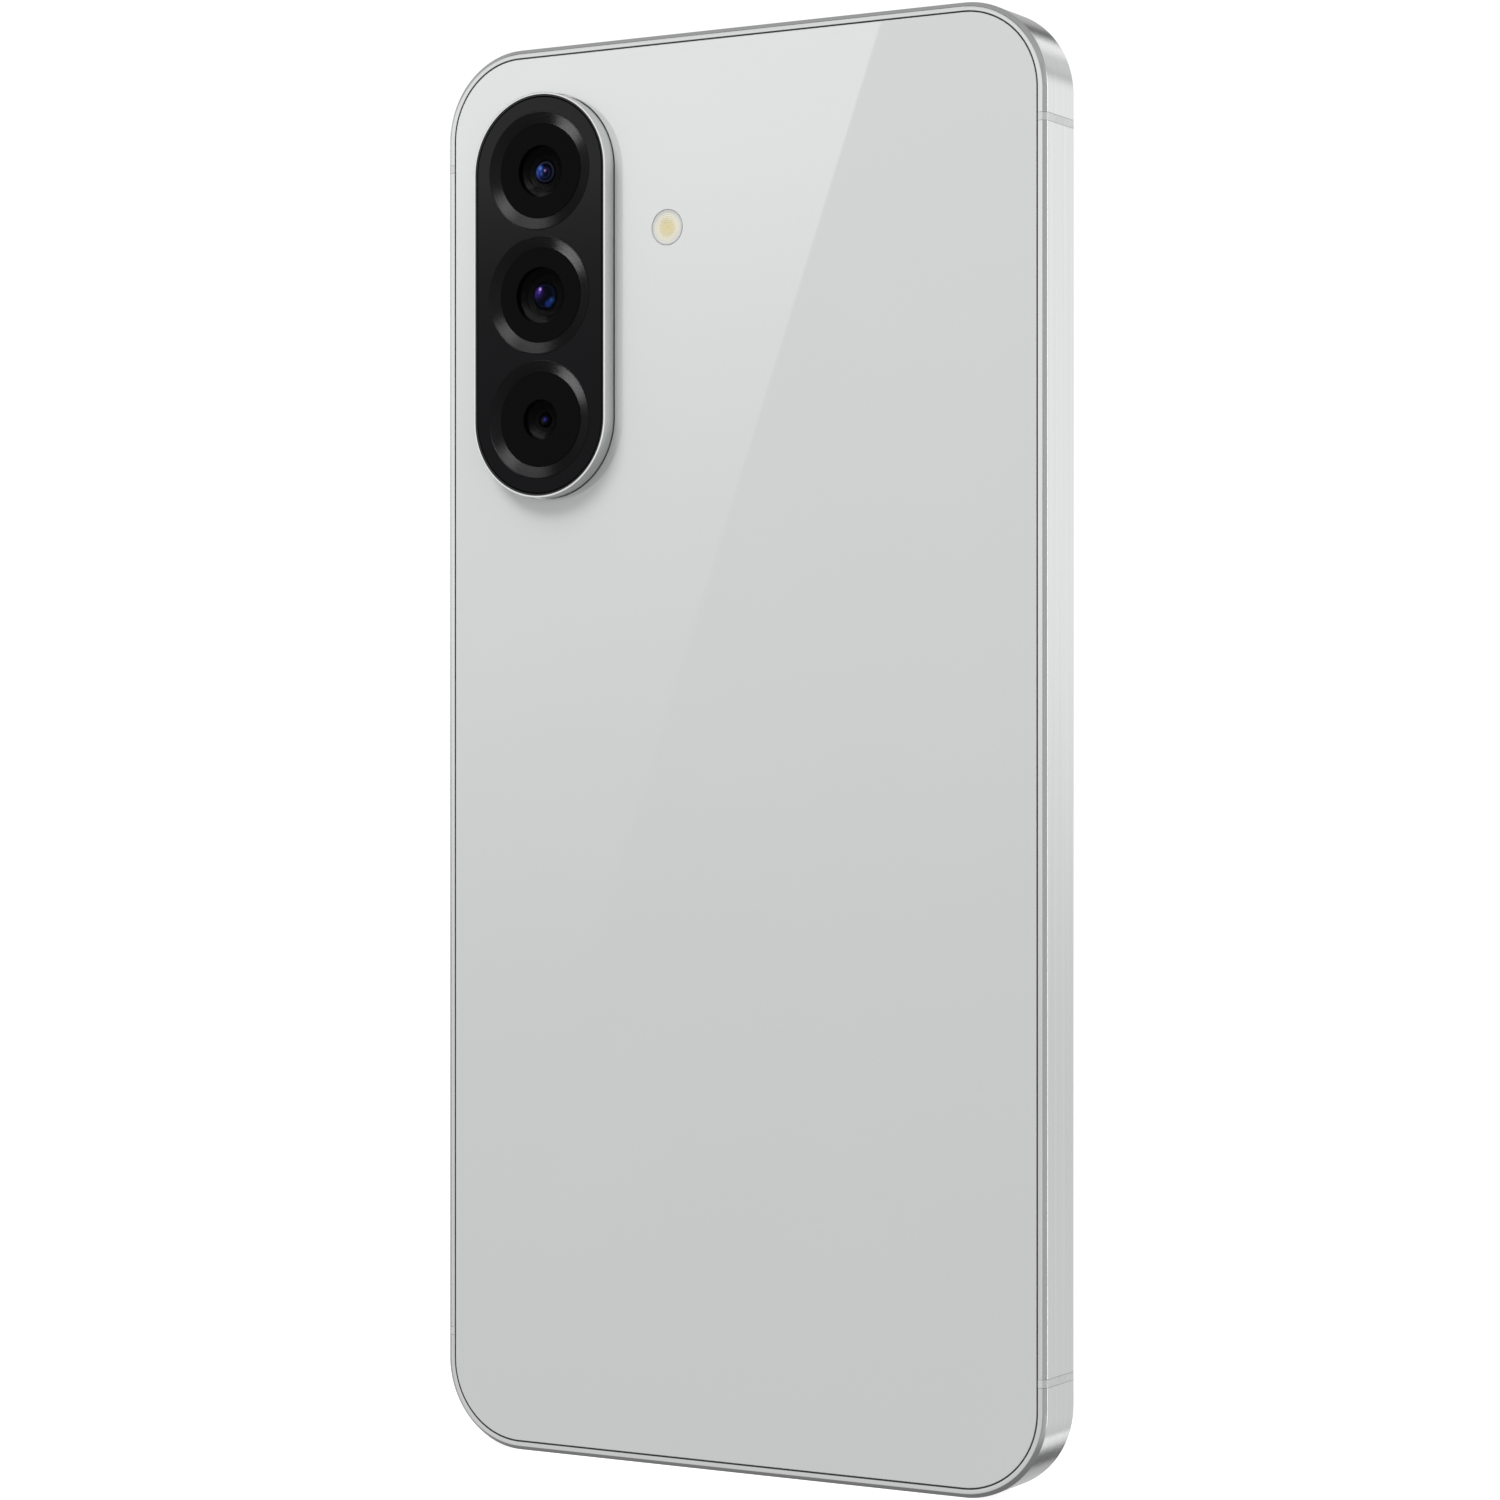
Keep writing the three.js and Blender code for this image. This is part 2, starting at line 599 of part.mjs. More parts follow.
function frontCameraHousing() {
  const { z, size, body: layer, barrel: radius, top } = FRONT_CAMERA;
  const body = centredBox(0, size, layer, z, size);
  const barrel = post(radius, [layer[1] - 2 * GAP, top], 0, z, MEDIUM_STEPS);
  return mesh('front_camera_housing', join(body, barrel), FINISH.blackPlastic);
}

function frontCameraLens() {
  const { radius, layer, edge, shoulder } = FRONT_LENS;
  const [rear, front] = layer;
  const profile = [
    [0, rear],
    [radius, rear],
    [radius, rear + edge],
    [radius * 0.6, front - shoulder],
    [0, front],
  ];
  const lens = mesh('front_camera_lens', turned(profile, MEDIUM_STEPS), FINISH.lensCoating);
  lens.position.z = FRONT_CAMERA.z;
  return lens;
}

function earpieceMesh() {
  const half = EARPIECE.width / 2 - GAP;
  const strip = box([-half, half], EARPIECE.layer, EARPIECE.mesh);
  return mesh('earpiece_mesh', strip, FINISH.blackPlastic);
}

function earpieceReceiver() {
  const body = slab(roundedOutline(RECEIVER.width, RECEIVER.height, RECEIVER.corner, 3), RECEIVER.layer);
  const receiver = mesh('earpiece_receiver', body, FINISH.steel);
  receiver.position.set(RECEIVER.x, 0, RECEIVER.z);
  return receiver;
}

const front = new THREE.Group();
front.add(frontGlass(), displayPanel(), gasket('display_adhesive', LAYER.displayAdhesive));
front.add(frontCameraHousing(), frontCameraLens(), earpieceMesh(), earpieceReceiver());

// ---------------------------------------------------------------- boards

const BOARD_INSET = FRAME.wall + 0.25; // keeps boards and covers clear of the frame's corners

// The part of a slab that lies inside the frame.
function insideFrame(geometry) {
  return common(geometry, slab(bodyOutline(BOARD_INSET), THROUGH));
}

function mainBoard() {
  const blank = insideFrame(box(BOARD_X, LAYER.board, [MAIN_BOARD.foot, EDGE]));
  const cameraWindow = box(MAIN_BOARD.windowX, THROUGH, MAIN_BOARD.windowZ);
  const frontNotch = box(MAIN_BOARD.notchX, THROUGH, [MAIN_BOARD.notchZ, EDGE]);
  const screwHoles = [SCREW_AT.top_cover_screw_left, SCREW_AT.top_cover_screw_right].map(([x, z]) => {
    return post(SCREW.shank + 2 * GAP, THROUGH, x, z);
  });
  return mesh('main_board', cut(blank, cameraWindow, frontNotch, ...screwHoles), FINISH.board);
}

// A pressed can, open towards the board.
function shieldCan([name, place]) {
  const { wall, rear } = SHIELD;
  const [x0, x1] = place.x;
  const [z0, z1] = place.z;
  const outside = box([x0, x1], [rear, LAYER.board[0] - GAP], [z0, z1]);
  const inside = box([x0 + wall, x1 - wall], [rear + wall, THROUGH[1]], [z0 + wall, z1 - wall]);
  return mesh(name, cut(outside, inside), FINISH.steel);
}

function heatSpreader() {
  const { x, z, width, height, corner } = HEAT_SPREADER;
  const plate = slab(roundedOutline(width, height, corner, 3), LAYER.heatSpreader);
  return mesh('heat_spreader', placed(plate, x, z), FINISH.copper);
}

// A sheet metal sleeve on the board, open at the top for the tray.
function simReader() {
  const { wall, spare, outside: shell, inside: room } = READER;
  const [foot, mouth] = READER.z;
  const half = TRAY.width / 2 + spare;
  const outside = box([-half - wall, half + wall], shell, [foot, mouth]);
  const inside = box([-half, half], room, [foot + wall, EDGE]);
  const reader = mesh('sim_reader', cut(outside, inside), FINISH.steel);
  reader.position.x = TRAY.x;
  return reader;
}

// Plastic cover over the boards, with windows for the cameras and the flash.
function topCover() {
  const blank = insideFrame(box(BOARD_X, LAYER.topCover, [TOP_COVER_FOOT, EDGE]));
  const cameraWindow = placed(slab(stadiumOutline(DECK.windowRadius), THROUGH), DECK.x, DECK.z);
  const flashWindow = centredBox(FLASH.x, FLASH_LED.window, THROUGH, FLASH.z, FLASH_LED.window);
  const screws = [SCREW_AT.top_cover_screw_left, SCREW_AT.top_cover_screw_right];
  const bores = screws.map(([x, z]) => post(SCREW.shank + 2 * GAP, THROUGH, x, z));
  const sinks = screws.map(([x, z]) => post(SCREW.head + 2 * GAP, [-4, SCREW_SEAT], x, z));
  return mesh('top_cover', cut(blank, cameraWindow, flashWindow, ...bores, ...sinks), FINISH.blackPlastic);
}

function screw(name, [x, z]) {
  const head = post(SCREW.head, [SCREW_SEAT - GAP - SCREW.headDepth, SCREW_SEAT - GAP]);
  const shank = post(SCREW.shank, [SCREW_SEAT - 0.2, SCREW.tip]);
  const socket = post(SCREW.socket, [-4, SCREW_SEAT - 0.2], 0, 0, 6);
  const part = mesh(name, cut(join(head, shank), socket), FINISH.steel);
  part.position.set(x, 0, z);
  return part;
}

function subBoard() {
  const blank = insideFrame(box(SUB_BOARD.x, LAYER.board, [-EDGE, SUB_BOARD.top]));
  const socketNotch = centredBox(0, USB.width + 0.6, THROUGH, -EDGE + 3, 9);
  return mesh('sub_board', cut(blank, socketNotch), FINISH.board);
}

// A ribbon over the rear of the battery, with a leg and a foot at each end that meets a board.
function mainFlex() {
  const { x, thick, upperFoot: upperEnd, lowerFoot: lowerEnd } = FLEX;
  const [rear] = LAYER.mainFlex;
  const [low, high] = FLEX.z;
  const foot = [LAYER.board[0] - 0.2, LAYER.board[0] - GAP];
  const ribbon = box(x, LAYER.mainFlex, FLEX.z);
  const upperLeg = box(x, [rear, foot[1]], [high - thick, high]);
  const upperFoot = box(x, foot, [high - thick, upperEnd]);
  const lowerLeg = box(x, [rear, foot[1]], [low, low + thick]);
  const lowerFoot = box(x, foot, [lowerEnd, low + thick]);
  return mesh('main_flex', join(ribbon, upperLeg, upperFoot, lowerLeg, lowerFoot), FINISH.flex);
}

function battery() {
  const { width, height, corner, stepTo, stepHeight } = BATTERY;
  const cell = slab(roundedOutline(width, height, corner, 3), LAYER.battery);
  const step = centredBox(0, BODY.width, [THROUGH[0], stepTo], height / 2, 2 * stepHeight);
  return mesh('battery', placed(cut(cell, step), 0, BATTERY.z), FINISH.battery);
}

const boards = new THREE.Group();
boards.add(mainBoard(), subBoard(), mainFlex(), battery(), heatSpreader(), simReader(), topCover());
boards.add(...Object.entries(SHIELD_AT).map(shieldCan));
boards.add(...Object.entries(SCREW_AT).map(([name, place]) => screw(name, place)));

// ---------------------------------------------------------------- bottom modules

// A shell open towards the bottom edge, round a tongue that stands on a block closing its far end.
function usbShell() {
  const low = -EDGE + USB.recess;
  const high = low + USB.length;
  const outside = edgeSlab(USB.width, USB.depth, [low, high], 0, 0);
  const inside = edgeSlab(USB.width - 2 * USB.wall, USB.depth - 2 * USB.wall, [low - 1, high + 1], 0, 0);
  return mesh('usb_shell', cut(outside, inside), FINISH.steel);
}

function usbTongue() {
  const low = -EDGE + USB.recess;
  const spare = 2 * (USB.wall + GAP);
  const high = low + USB.length;
  const blockFoot = high - TONGUE.block;
  const block = edgeSlab(USB.width - spare, USB.depth - spare, [blockFoot, high], 0, 0);
  const layer = [-TONGUE.depth / 2, TONGUE.depth / 2];
  const tongue = centredBox(0, TONGUE.width, layer, blockFoot - TONGUE.setBack, TONGUE.length);
  return mesh('usb_tongue', join(block, tongue), FINISH.blackPlastic);
}

// A sealed sound box with a port that leads to the holes in the bottom rail.
function loudspeakerModule() {
  const { x: range, layer, top, port: portHalf, portLength } = LOUDSPEAKER;
  const blank = insideFrame(box(range, layer, [-EDGE, top]));
  const portWidth = SPEAKER.holes * SPEAKER.pitch + 1;
  const port = centredBox(SPEAKER.x, portWidth, [-portHalf, portHalf], -EDGE, 2 * portLength);
  const [x, z] = SCREW_AT.speaker_screw;
  const bore = post(SCREW.shank + 2 * GAP, THROUGH, x, z);
  const sink = post(SCREW.head + 2 * GAP, [-4, SCREW_SEAT], x, z);
  return mesh('loudspeaker_module', cut(blank, port, bore, sink), FINISH.blackPlastic);
}

function microphone() {
  const { half, rear, z, portY } = MICROPHONE_CAN;
  const can = box([MICROPHONE.x - half, MICROPHONE.x + half], [rear, LAYER.board[0] - GAP], z);
  const port = pole(MICROPHONE.radius, [-EDGE, (z[0] + z[1]) / 2], MICROPHONE.x, portY, 8);
  return mesh('microphone_bottom', cut(can, port), FINISH.steel);
}

// A flat case with a slot at one end where its leads come out.
function motorCase() {
  const { width, height, layer, wall } = MOTOR;
  const [rear, front] = layer;
  const outside = centredBox(0, width, layer, 0, height);
  const inside = centredBox(0, width - 2 * wall, [rear + wall, front - wall], 0, height - 2 * wall);
  const slot = box([width / 2 - 1, width / 2 + 1], [rear + 1, front - 0.7], [-3, 3]);
  const shell = mesh('vibration_motor_case', cut(outside, inside, slot), FINISH.steel);
  shell.position.set(MOTOR.x, 0, MOTOR.z);
  return shell;
}

// The weight that the motor shakes along X.
function motorMass() {
  const { width, height, layer, wall, stroke } = MOTOR;
  const [rear, front] = layer;
  const room = wall + 0.15;
  const weight = centredBox(
    0,
    width - 2 * (wall + stroke + 0.2),
    [rear + room, front - room],
    0,
    height - 2 * room,
  );
  const part = mesh('vibration_motor_mass', weight, FINISH.castMetal);
  part.position.set(MOTOR.x, 0, MOTOR.z);
  return part;
}

const bottom = new THREE.Group();
bottom.add(usbShell(), usbTongue(), loudspeakerModule(), microphone(), motorCase(), motorMass());

// ---------------------------------------------------------------- keys and tray

// A cap that stands out of the island, and the flange that keeps it in.
function sideKey(name, key) {
  const face = -OUTER_WALL - KEY_ISLAND.proud - KEY.proud;
  const seat = -OUTER_WALL + KEY.seat;
  const cap = keySlab(key.length, KEY.depth, [face, seat + GAP]);
  const flange = keySlab(key.length + KEY.flangeLong, KEY.depth + KEY.flangeWide, [seat, seat + KEY.flange]);
  const part = mesh(name, join(cap, flange), FINISH.aluminium);
  part.position.z = key.z;
  return part;
}

// The strip behind the keys, with a switch dome for each end of the rocker and one for the power key.
function sideKeyFlex() {
  const wall = -OUTER_WALL + FRAME.wall;
  const { thick, half, z: range, dome: radius, domeHeight, reach } = KEY_FLEX;
  const strip = box([wall + GAP, wall + thick], [-half, half], range);
  const domes = [VOLUME.z + reach, VOLUME.z - reach, POWER.z].map((z) => {
    const dome = new THREE.CylinderGeometry(radius, radius, domeHeight, SMALL_STEPS);
    return dome.rotateZ(Math.PI / 2).translate(wall - 2 * GAP, 0, z);
  });
  return mesh('side_key_flex', join(strip, ...domes), FINISH.flex);
}

// The bezel that closes the opening, and the carrier behind it with a pocket for a card on each face.
function simTray() {
  const top = EDGE - TRAY_BEZEL.recess;
  const shoulder = top - TRAY_BEZEL.height;
  const bezel = edgeSlab(TRAY_BEZEL.width, TRAY_BEZEL.depth, [shoulder, top], 0, 0);
  const layer = [-TRAY.depth / 2, TRAY.depth / 2];
  const carrier = centredBox(0, TRAY.width, layer, shoulder - TRAY.length / 2, TRAY.length + 4 * GAP);
  const { shoulder: margin, length, rearWidth, rearFloor, frontWidth, frontFloor } = TRAY_POCKET;
  const pocketZ = shoulder - margin - length / 2;
  const rearPocket = centredBox(0, rearWidth, [THROUGH[0], rearFloor], pocketZ, length);
  const frontPocket = centredBox(0, frontWidth, [frontFloor, THROUGH[1]], pocketZ, length);
  const pinhole = pole(TRAY_BEZEL.pinRadius, [shoulder - 1, top + 1], TRAY_BEZEL.pinX, 0, 8);
  const body = cut(join(bezel, carrier), rearPocket, frontPocket, pinhole);
  const tray = mesh('sim_tray', body, FINISH.aluminium);
  tray.position.set(TRAY.x, TRAY.y, 0);
  return tray;
}

const controls = new THREE.Group();
controls.add(sideKey('volume_rocker', VOLUME), sideKey('power_key', POWER), sideKeyFlex(), simTray());

// ---------------------------------------------------------------- the phone

const phone = new THREE.Group();
phone.name = 'smartphone';
phone.add(frame, rearGlass(), gasket('rear_glass_adhesive', LAYER.rearAdhesive), flash, deck);
phone.add(front, boards, bottom, controls);
phone.position.set((KEY_ISLAND.proud + KEY.proud) / 2, DECK.proud / 2, EDGE);

const object = new THREE.Group();
object.add(phone);

export default object;
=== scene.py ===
"""The smartphone's looks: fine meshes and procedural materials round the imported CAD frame.

Pieces are drawn in millimetres about the middle of the phone's body and then moved into the row frame, which
is in metres. The rear glass faces -Y, the display +Y, and +X is to the right of somebody who looks at the
rear glass.
"""

import json
import math
from collections import namedtuple

import bmesh
import bpy
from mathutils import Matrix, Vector

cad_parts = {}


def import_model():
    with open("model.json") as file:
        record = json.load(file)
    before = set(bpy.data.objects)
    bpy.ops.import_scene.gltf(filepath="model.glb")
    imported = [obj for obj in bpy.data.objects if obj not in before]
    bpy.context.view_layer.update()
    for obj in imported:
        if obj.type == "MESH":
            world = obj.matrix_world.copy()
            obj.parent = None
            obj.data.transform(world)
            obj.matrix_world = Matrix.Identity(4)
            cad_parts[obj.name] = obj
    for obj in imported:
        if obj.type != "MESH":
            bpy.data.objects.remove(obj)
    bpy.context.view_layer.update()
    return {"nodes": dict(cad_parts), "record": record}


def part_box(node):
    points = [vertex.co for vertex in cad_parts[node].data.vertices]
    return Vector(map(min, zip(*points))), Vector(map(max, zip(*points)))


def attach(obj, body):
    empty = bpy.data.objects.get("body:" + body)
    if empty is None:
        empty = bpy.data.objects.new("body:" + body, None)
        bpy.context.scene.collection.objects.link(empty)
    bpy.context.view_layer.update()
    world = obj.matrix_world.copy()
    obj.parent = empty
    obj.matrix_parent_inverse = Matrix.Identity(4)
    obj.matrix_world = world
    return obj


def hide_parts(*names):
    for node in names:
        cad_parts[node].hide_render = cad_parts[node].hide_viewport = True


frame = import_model()

# ------------ sizes, in millimetres

MM = 0.001
RAIL_LOW, RAIL_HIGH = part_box("frame_top_rail")
BODY_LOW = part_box("frame_bottom_rail")[0]
CENTRE = (Vector((RAIL_LOW.x, RAIL_LOW.y, BODY_LOW.z)) + RAIL_HIGH) / 2
WIDTH = (RAIL_HIGH.x - RAIL_LOW.x) / MM
HEIGHT = (RAIL_HIGH.z - BODY_LOW.z) / MM
DEPTH = (RAIL_HIGH.y - RAIL_LOW.y) / MM
HALF_WIDTH, HALF_HEIGHT, HALF_DEPTH = WIDTH / 2, HEIGHT / 2, DEPTH / 2

CORNER = 10.0
CORNER_STEPS = 28
CHAMFER_WIDTH, CHAMFER_DEPTH = 0.45, 0.41
LIP, WALL, LEDGE = 0.98, 2.6, 2.8
GLASS_INSET = 1.08
GLASS_THICK = 0.65
GAP = 0.05
FULL_TURN = 2 * math.pi
SAME = 1e-6
Size = namedtuple("Size", "x y z")
BOX_FACES = [(0, 1, 3, 2), (4, 6, 7, 5), (0, 4, 5, 1), (2, 3, 7, 6), (0, 2, 6, 4), (1, 5, 7, 3)]


def local_box(node):
    """A CAD node's lowest and highest corner in millimetres about the middle of the body."""
    low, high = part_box(node)
    return (low - CENTRE) / MM, (high - CENTRE) / MM


def middle_of(node):
    low, high = local_box(node)
    return (low + high) / 2


def half_size(node):
    return Size(*[(high - low) / 2 for low, high in zip(*local_box(node))])


# ------------ outlines


def rounded_outline(half_x, half_z, radius, steps=CORNER_STEPS):
    """A round-cornered rectangle, anticlockwise from bottom right, as (x, z, normal x, normal z) points."""
    points = []
    for quarter, (side_x, side_z) in enumerate(((1, -1), (1, 1), (-1, 1), (-1, -1))):
        x, z = side_x * (half_x - radius), side_z * (half_z - radius)
        for step in range(steps + 1):
            angle = (quarter - 1 + step / steps) * math.pi / 2
            nx, nz = math.cos(angle), math.sin(angle)
            point = (x + radius * nx, z + radius * nz, nx, nz)
            if not points or math.dist(point[:2], points[-1][:2]) > SAME:
                points.append(point)
    if math.dist(points[0][:2], points[-1][:2]) < SAME:
        points.pop()
    return points


def body_outline(inset=0.0, steps=CORNER_STEPS):
    return rounded_outline(HALF_WIDTH - inset, HALF_HEIGHT - inset, CORNER - inset, steps)


def filleted(points, sizes, steps=3):
    """A closed polygon whose corner i is rounded off over sizes[i] along both of its edges."""
    out = []
    count = len(points)
    for i, (corner, size) in enumerate(zip(points, sizes)):
        if size <= 0:
            out.append(tuple(corner))
            continue
        here = Vector(corner)
        before = here + (Vector(points[i - 1]) - here).normalized() * size
        after = here + (Vector(points[(i + 1) % count]) - here).normalized() * size
        for step in range(steps + 1):
            t = step / steps
            out.append(tuple((1 - t) ** 2 * before + 2 * t * (1 - t) * here + t * t * after))
    return out


# ------------ meshes


def add_object(name, data):
    made = bpy.data.objects.new(name, data)
    bpy.context.scene.collection.objects.link(made)
    return made


def make_piece(name, verts, faces, uvs=None):
    """A mesh object from points in millimetres about the body's middle, in metres in the row frame."""
    mesh = bpy.data.meshes.new(name)
    mesh.from_pydata([tuple(CENTRE + Vector(v) * MM) for v in verts], [], faces)
    if uvs:
        layer = mesh.uv_layers.new(name="along")
        for loop, uv in zip(layer.data, uvs):
            loop.uv = uv
    build = bmesh.new()
    build.from_mesh(mesh)
    bmesh.ops.recalc_face_normals(build, faces=build.faces)
    build.to_mesh(mesh)
    build.free()
    return add_object(name, mesh)


def grid_faces(rows, columns, wrap_rows, wrap_columns):
    faces = []
    for i in range(rows if wrap_rows else rows - 1):
        for j in range(columns if wrap_columns else columns - 1):
            i2, j2 = (i + 1) % rows, (j + 1) % columns
            faces.append((i * columns + j, i * columns + j2, i2 * columns + j2, i2 * columns + j))
    return faces


def swept(name, path, profile, closed):
    """A closed profile of (inset, y) points carried along a path of (x, z, normal x, normal z) points.

    The UV layer holds the distance along the path and round the profile, in millimetres.
    """
    verts = [(x - nx * inset, y, z - nz * inset) for x, z, nx, nz in path for inset, y in profile]
    rows, columns = len(path), len(profile)
    faces = grid_faces(rows, columns, closed, True)
    along = [0.0]
    for a, b in zip(path, path[1:] + path[:1]):
        along.append(along[-1] + math.dist(a[:2], b[:2]))
    around = [0.0]
    for a, b in zip(profile, profile[1:] + profile[:1]):
        around.append(around[-1] + math.dist(a, b))
    uvs = []
    for i in range(rows if closed else rows - 1):
        for j in range(columns):
            start, end = around[j], around[j + 1]
            uvs += [(along[i], start), (along[i], end), (along[i + 1], end), (along[i + 1], start)]
    if not closed:
        faces.append(tuple(range(columns)))
        faces.append(tuple((rows - 1) * columns + j for j in reversed(range(columns))))
        uvs += [(0.0, 0.0)] * (2 * columns)
    return make_piece(name, verts, faces, uvs)


def lofted(name, loops):
    """A closed solid through loops of as many points each, with flat ends."""
    columns = len(loops[0])
    verts = [p for loop in loops for p in loop]
    faces = grid_faces(len(loops), columns, False, True)
    faces.append(tuple(range(columns)))
    faces.append(tuple((len(loops) - 1) * columns + j for j in reversed(range(columns))))
    return make_piece(name, verts, faces)


def stacked(name, layers, half, radius, steps, spot):
    """A round-cornered solid from (inset, height) layers, whose points spot() puts in their place."""
    loops = []
    for inset, height in layers:
        outline = rounded_outline(half[0] - inset, half[1] - inset, max(radius - inset, 0.01), steps)
        loops.append([spot(a, b, height) for a, b, _, _ in outline])
    return lofted(name, loops)


def plate(name, half_x, half_z, radius, layers, x=0.0, z=0.0, steps=CORNER_STEPS):
    """A rounded plate in the X-Z plane from (inset, y) layers."""
    return stacked(name, layers, (half_x, half_z), radius, steps, lambda px, pz, y: (px + x, y, pz + z))


def disc_cutter(radius, place, layers, steps=24):
    return plate("cutter", radius, radius, radius, layers, place.x, place.z, steps)


def edge_plate(name, half_x, half_y, layers, x=0.0, y=0.0, steps=10):
    """A stadium in the X-Y plane from (inset, z) layers: what lies in the top or bottom edge."""
    radius = min(half_x, half_y)
    return stacked(name, layers, (half_x, half_y), radius, steps, lambda px, py, z: (px + x, py + y, z))


def side_plate(name, half_y, half_z, layers, z=0.0, steps=12):
    """A stadium in the Y-Z plane from (inset, x) layers: keys and their slots."""
    radius = min(half_y, half_z)
    return stacked(name, layers, (half_y, half_z), radius, steps, lambda py, pz, x: (x, py, pz + z))


def turned(name, profile, x=0.0, z=0.0, steps=96):
    """A part turned about Y from (radius, y) points that close on themselves or start and end on the axis."""
    verts, faces, uvs, rings = [], [], [], []
    angles = [FULL_TURN * step / steps for step in range(steps)]
    for radius, y in profile:
        start = len(verts)
        if radius == 0:
            rings.append([start] * steps)
            verts.append((x, y, z))
        else:
            rings.append(range(start, start + steps))
            verts += [(x + radius * math.cos(a), y, z + radius * math.sin(a)) for a in angles]
    pairs = list(zip(range(len(profile) - 1), range(1, len(profile))))
    if profile[0][0] != 0:
        pairs.append((len(profile) - 1, 0))
    around = [0.0]
    for a, b in pairs:
        around.append(around[-1] + math.dist(profile[a], profile[b]))
    reach = max(radius for radius, _ in profile)
    for row, (a, b) in enumerate(pairs):
        for step in range(steps):
            after = (step + 1) % steps
            corners = [
                (rings[a][step], step, around[row]),
                (rings[b][step], step, around[row + 1]),
                (rings[b][after], step + 1, around[row + 1]),
                (rings[a][after], step + 1, around[row]),
            ]
            kept = {}
            for vert, *spot in corners:
                kept.setdefault(vert, spot)
            if len(kept) > 2:
                faces.append(tuple(kept))
                uvs += [(FULL_TURN * reach * turn / steps, along) for turn, along in kept.values()]
    return make_piece(name, verts, faces, uvs)


def bar(name, x, y, z, round_off=0.0):
    """A box from its (low, high) ranges, with rounded edges where round_off is above 0."""
    verts = [(px, py, pz) for px in x for py in y for pz in z]
    piece = make_piece(name, verts, BOX_FACES)
    if round_off:
        build = bmesh.new()
        build.from_mesh(piece.data)
        rounding = {"offset": round_off * MM, "segments": 3, "profile": 0.5, "affect": "EDGES"}
        bmesh.ops.bevel(build, geom=build.edges[:], **rounding)
        build.to_mesh(piece.data)
        build.free()
    return piece


def evaluated(piece):
    """Replaces the piece's mesh by the mesh that its modifiers make, and drops the modifiers."""
    depsgraph = bpy.context.evaluated_depsgraph_get()
    mesh = bpy.data.meshes.new_from_object(piece.evaluated_get(depsgraph))
    piece.modifiers.clear()
    piece.data = mesh
    mesh.name = piece.name


def combine(piece, others, operation):
    for other in others:
        step = piece.modifiers.new("step", "BOOLEAN")
        step.operation = operation
        step.solver = "EXACT"
        step.object = other
    evaluated(piece)
    for other in others:
        bpy.data.objects.remove(other)
    return piece


def cut(piece, *tools):
    return combine(piece, tools, "DIFFERENCE")


def weld(piece, *others):
    return combine(piece, others, "UNION")


NODE_SLOTS = {row["node"]: row["material_slot"] for row in frame["record"]["subparts"]}


def finish_piece(piece, *replaces, body="chassis", slot=None, material=None, sharp=38.0):
    """Smooth shading with crisp edges, a material and a body to ride on; hides the CAD nodes that it stands
    for.
    """
    slot = slot or NODE_SLOTS[replaces[0]]
    piece.data.shade_smooth()
    piece.data.set_sharp_from_angle(angle=math.radians(sharp))
    weighted = piece.modifiers.new("weighted", "WEIGHTED_NORMAL")
    weighted.keep_sharp = True
    weighted.weight = 90
    evaluated(piece)
    piece.data.materials.clear()
    piece.data.materials.append(material or SLOT_MATERIALS[slot])
    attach(piece, body)
    if replaces:
        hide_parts(*replaces)
    return piece


# ------------ materials


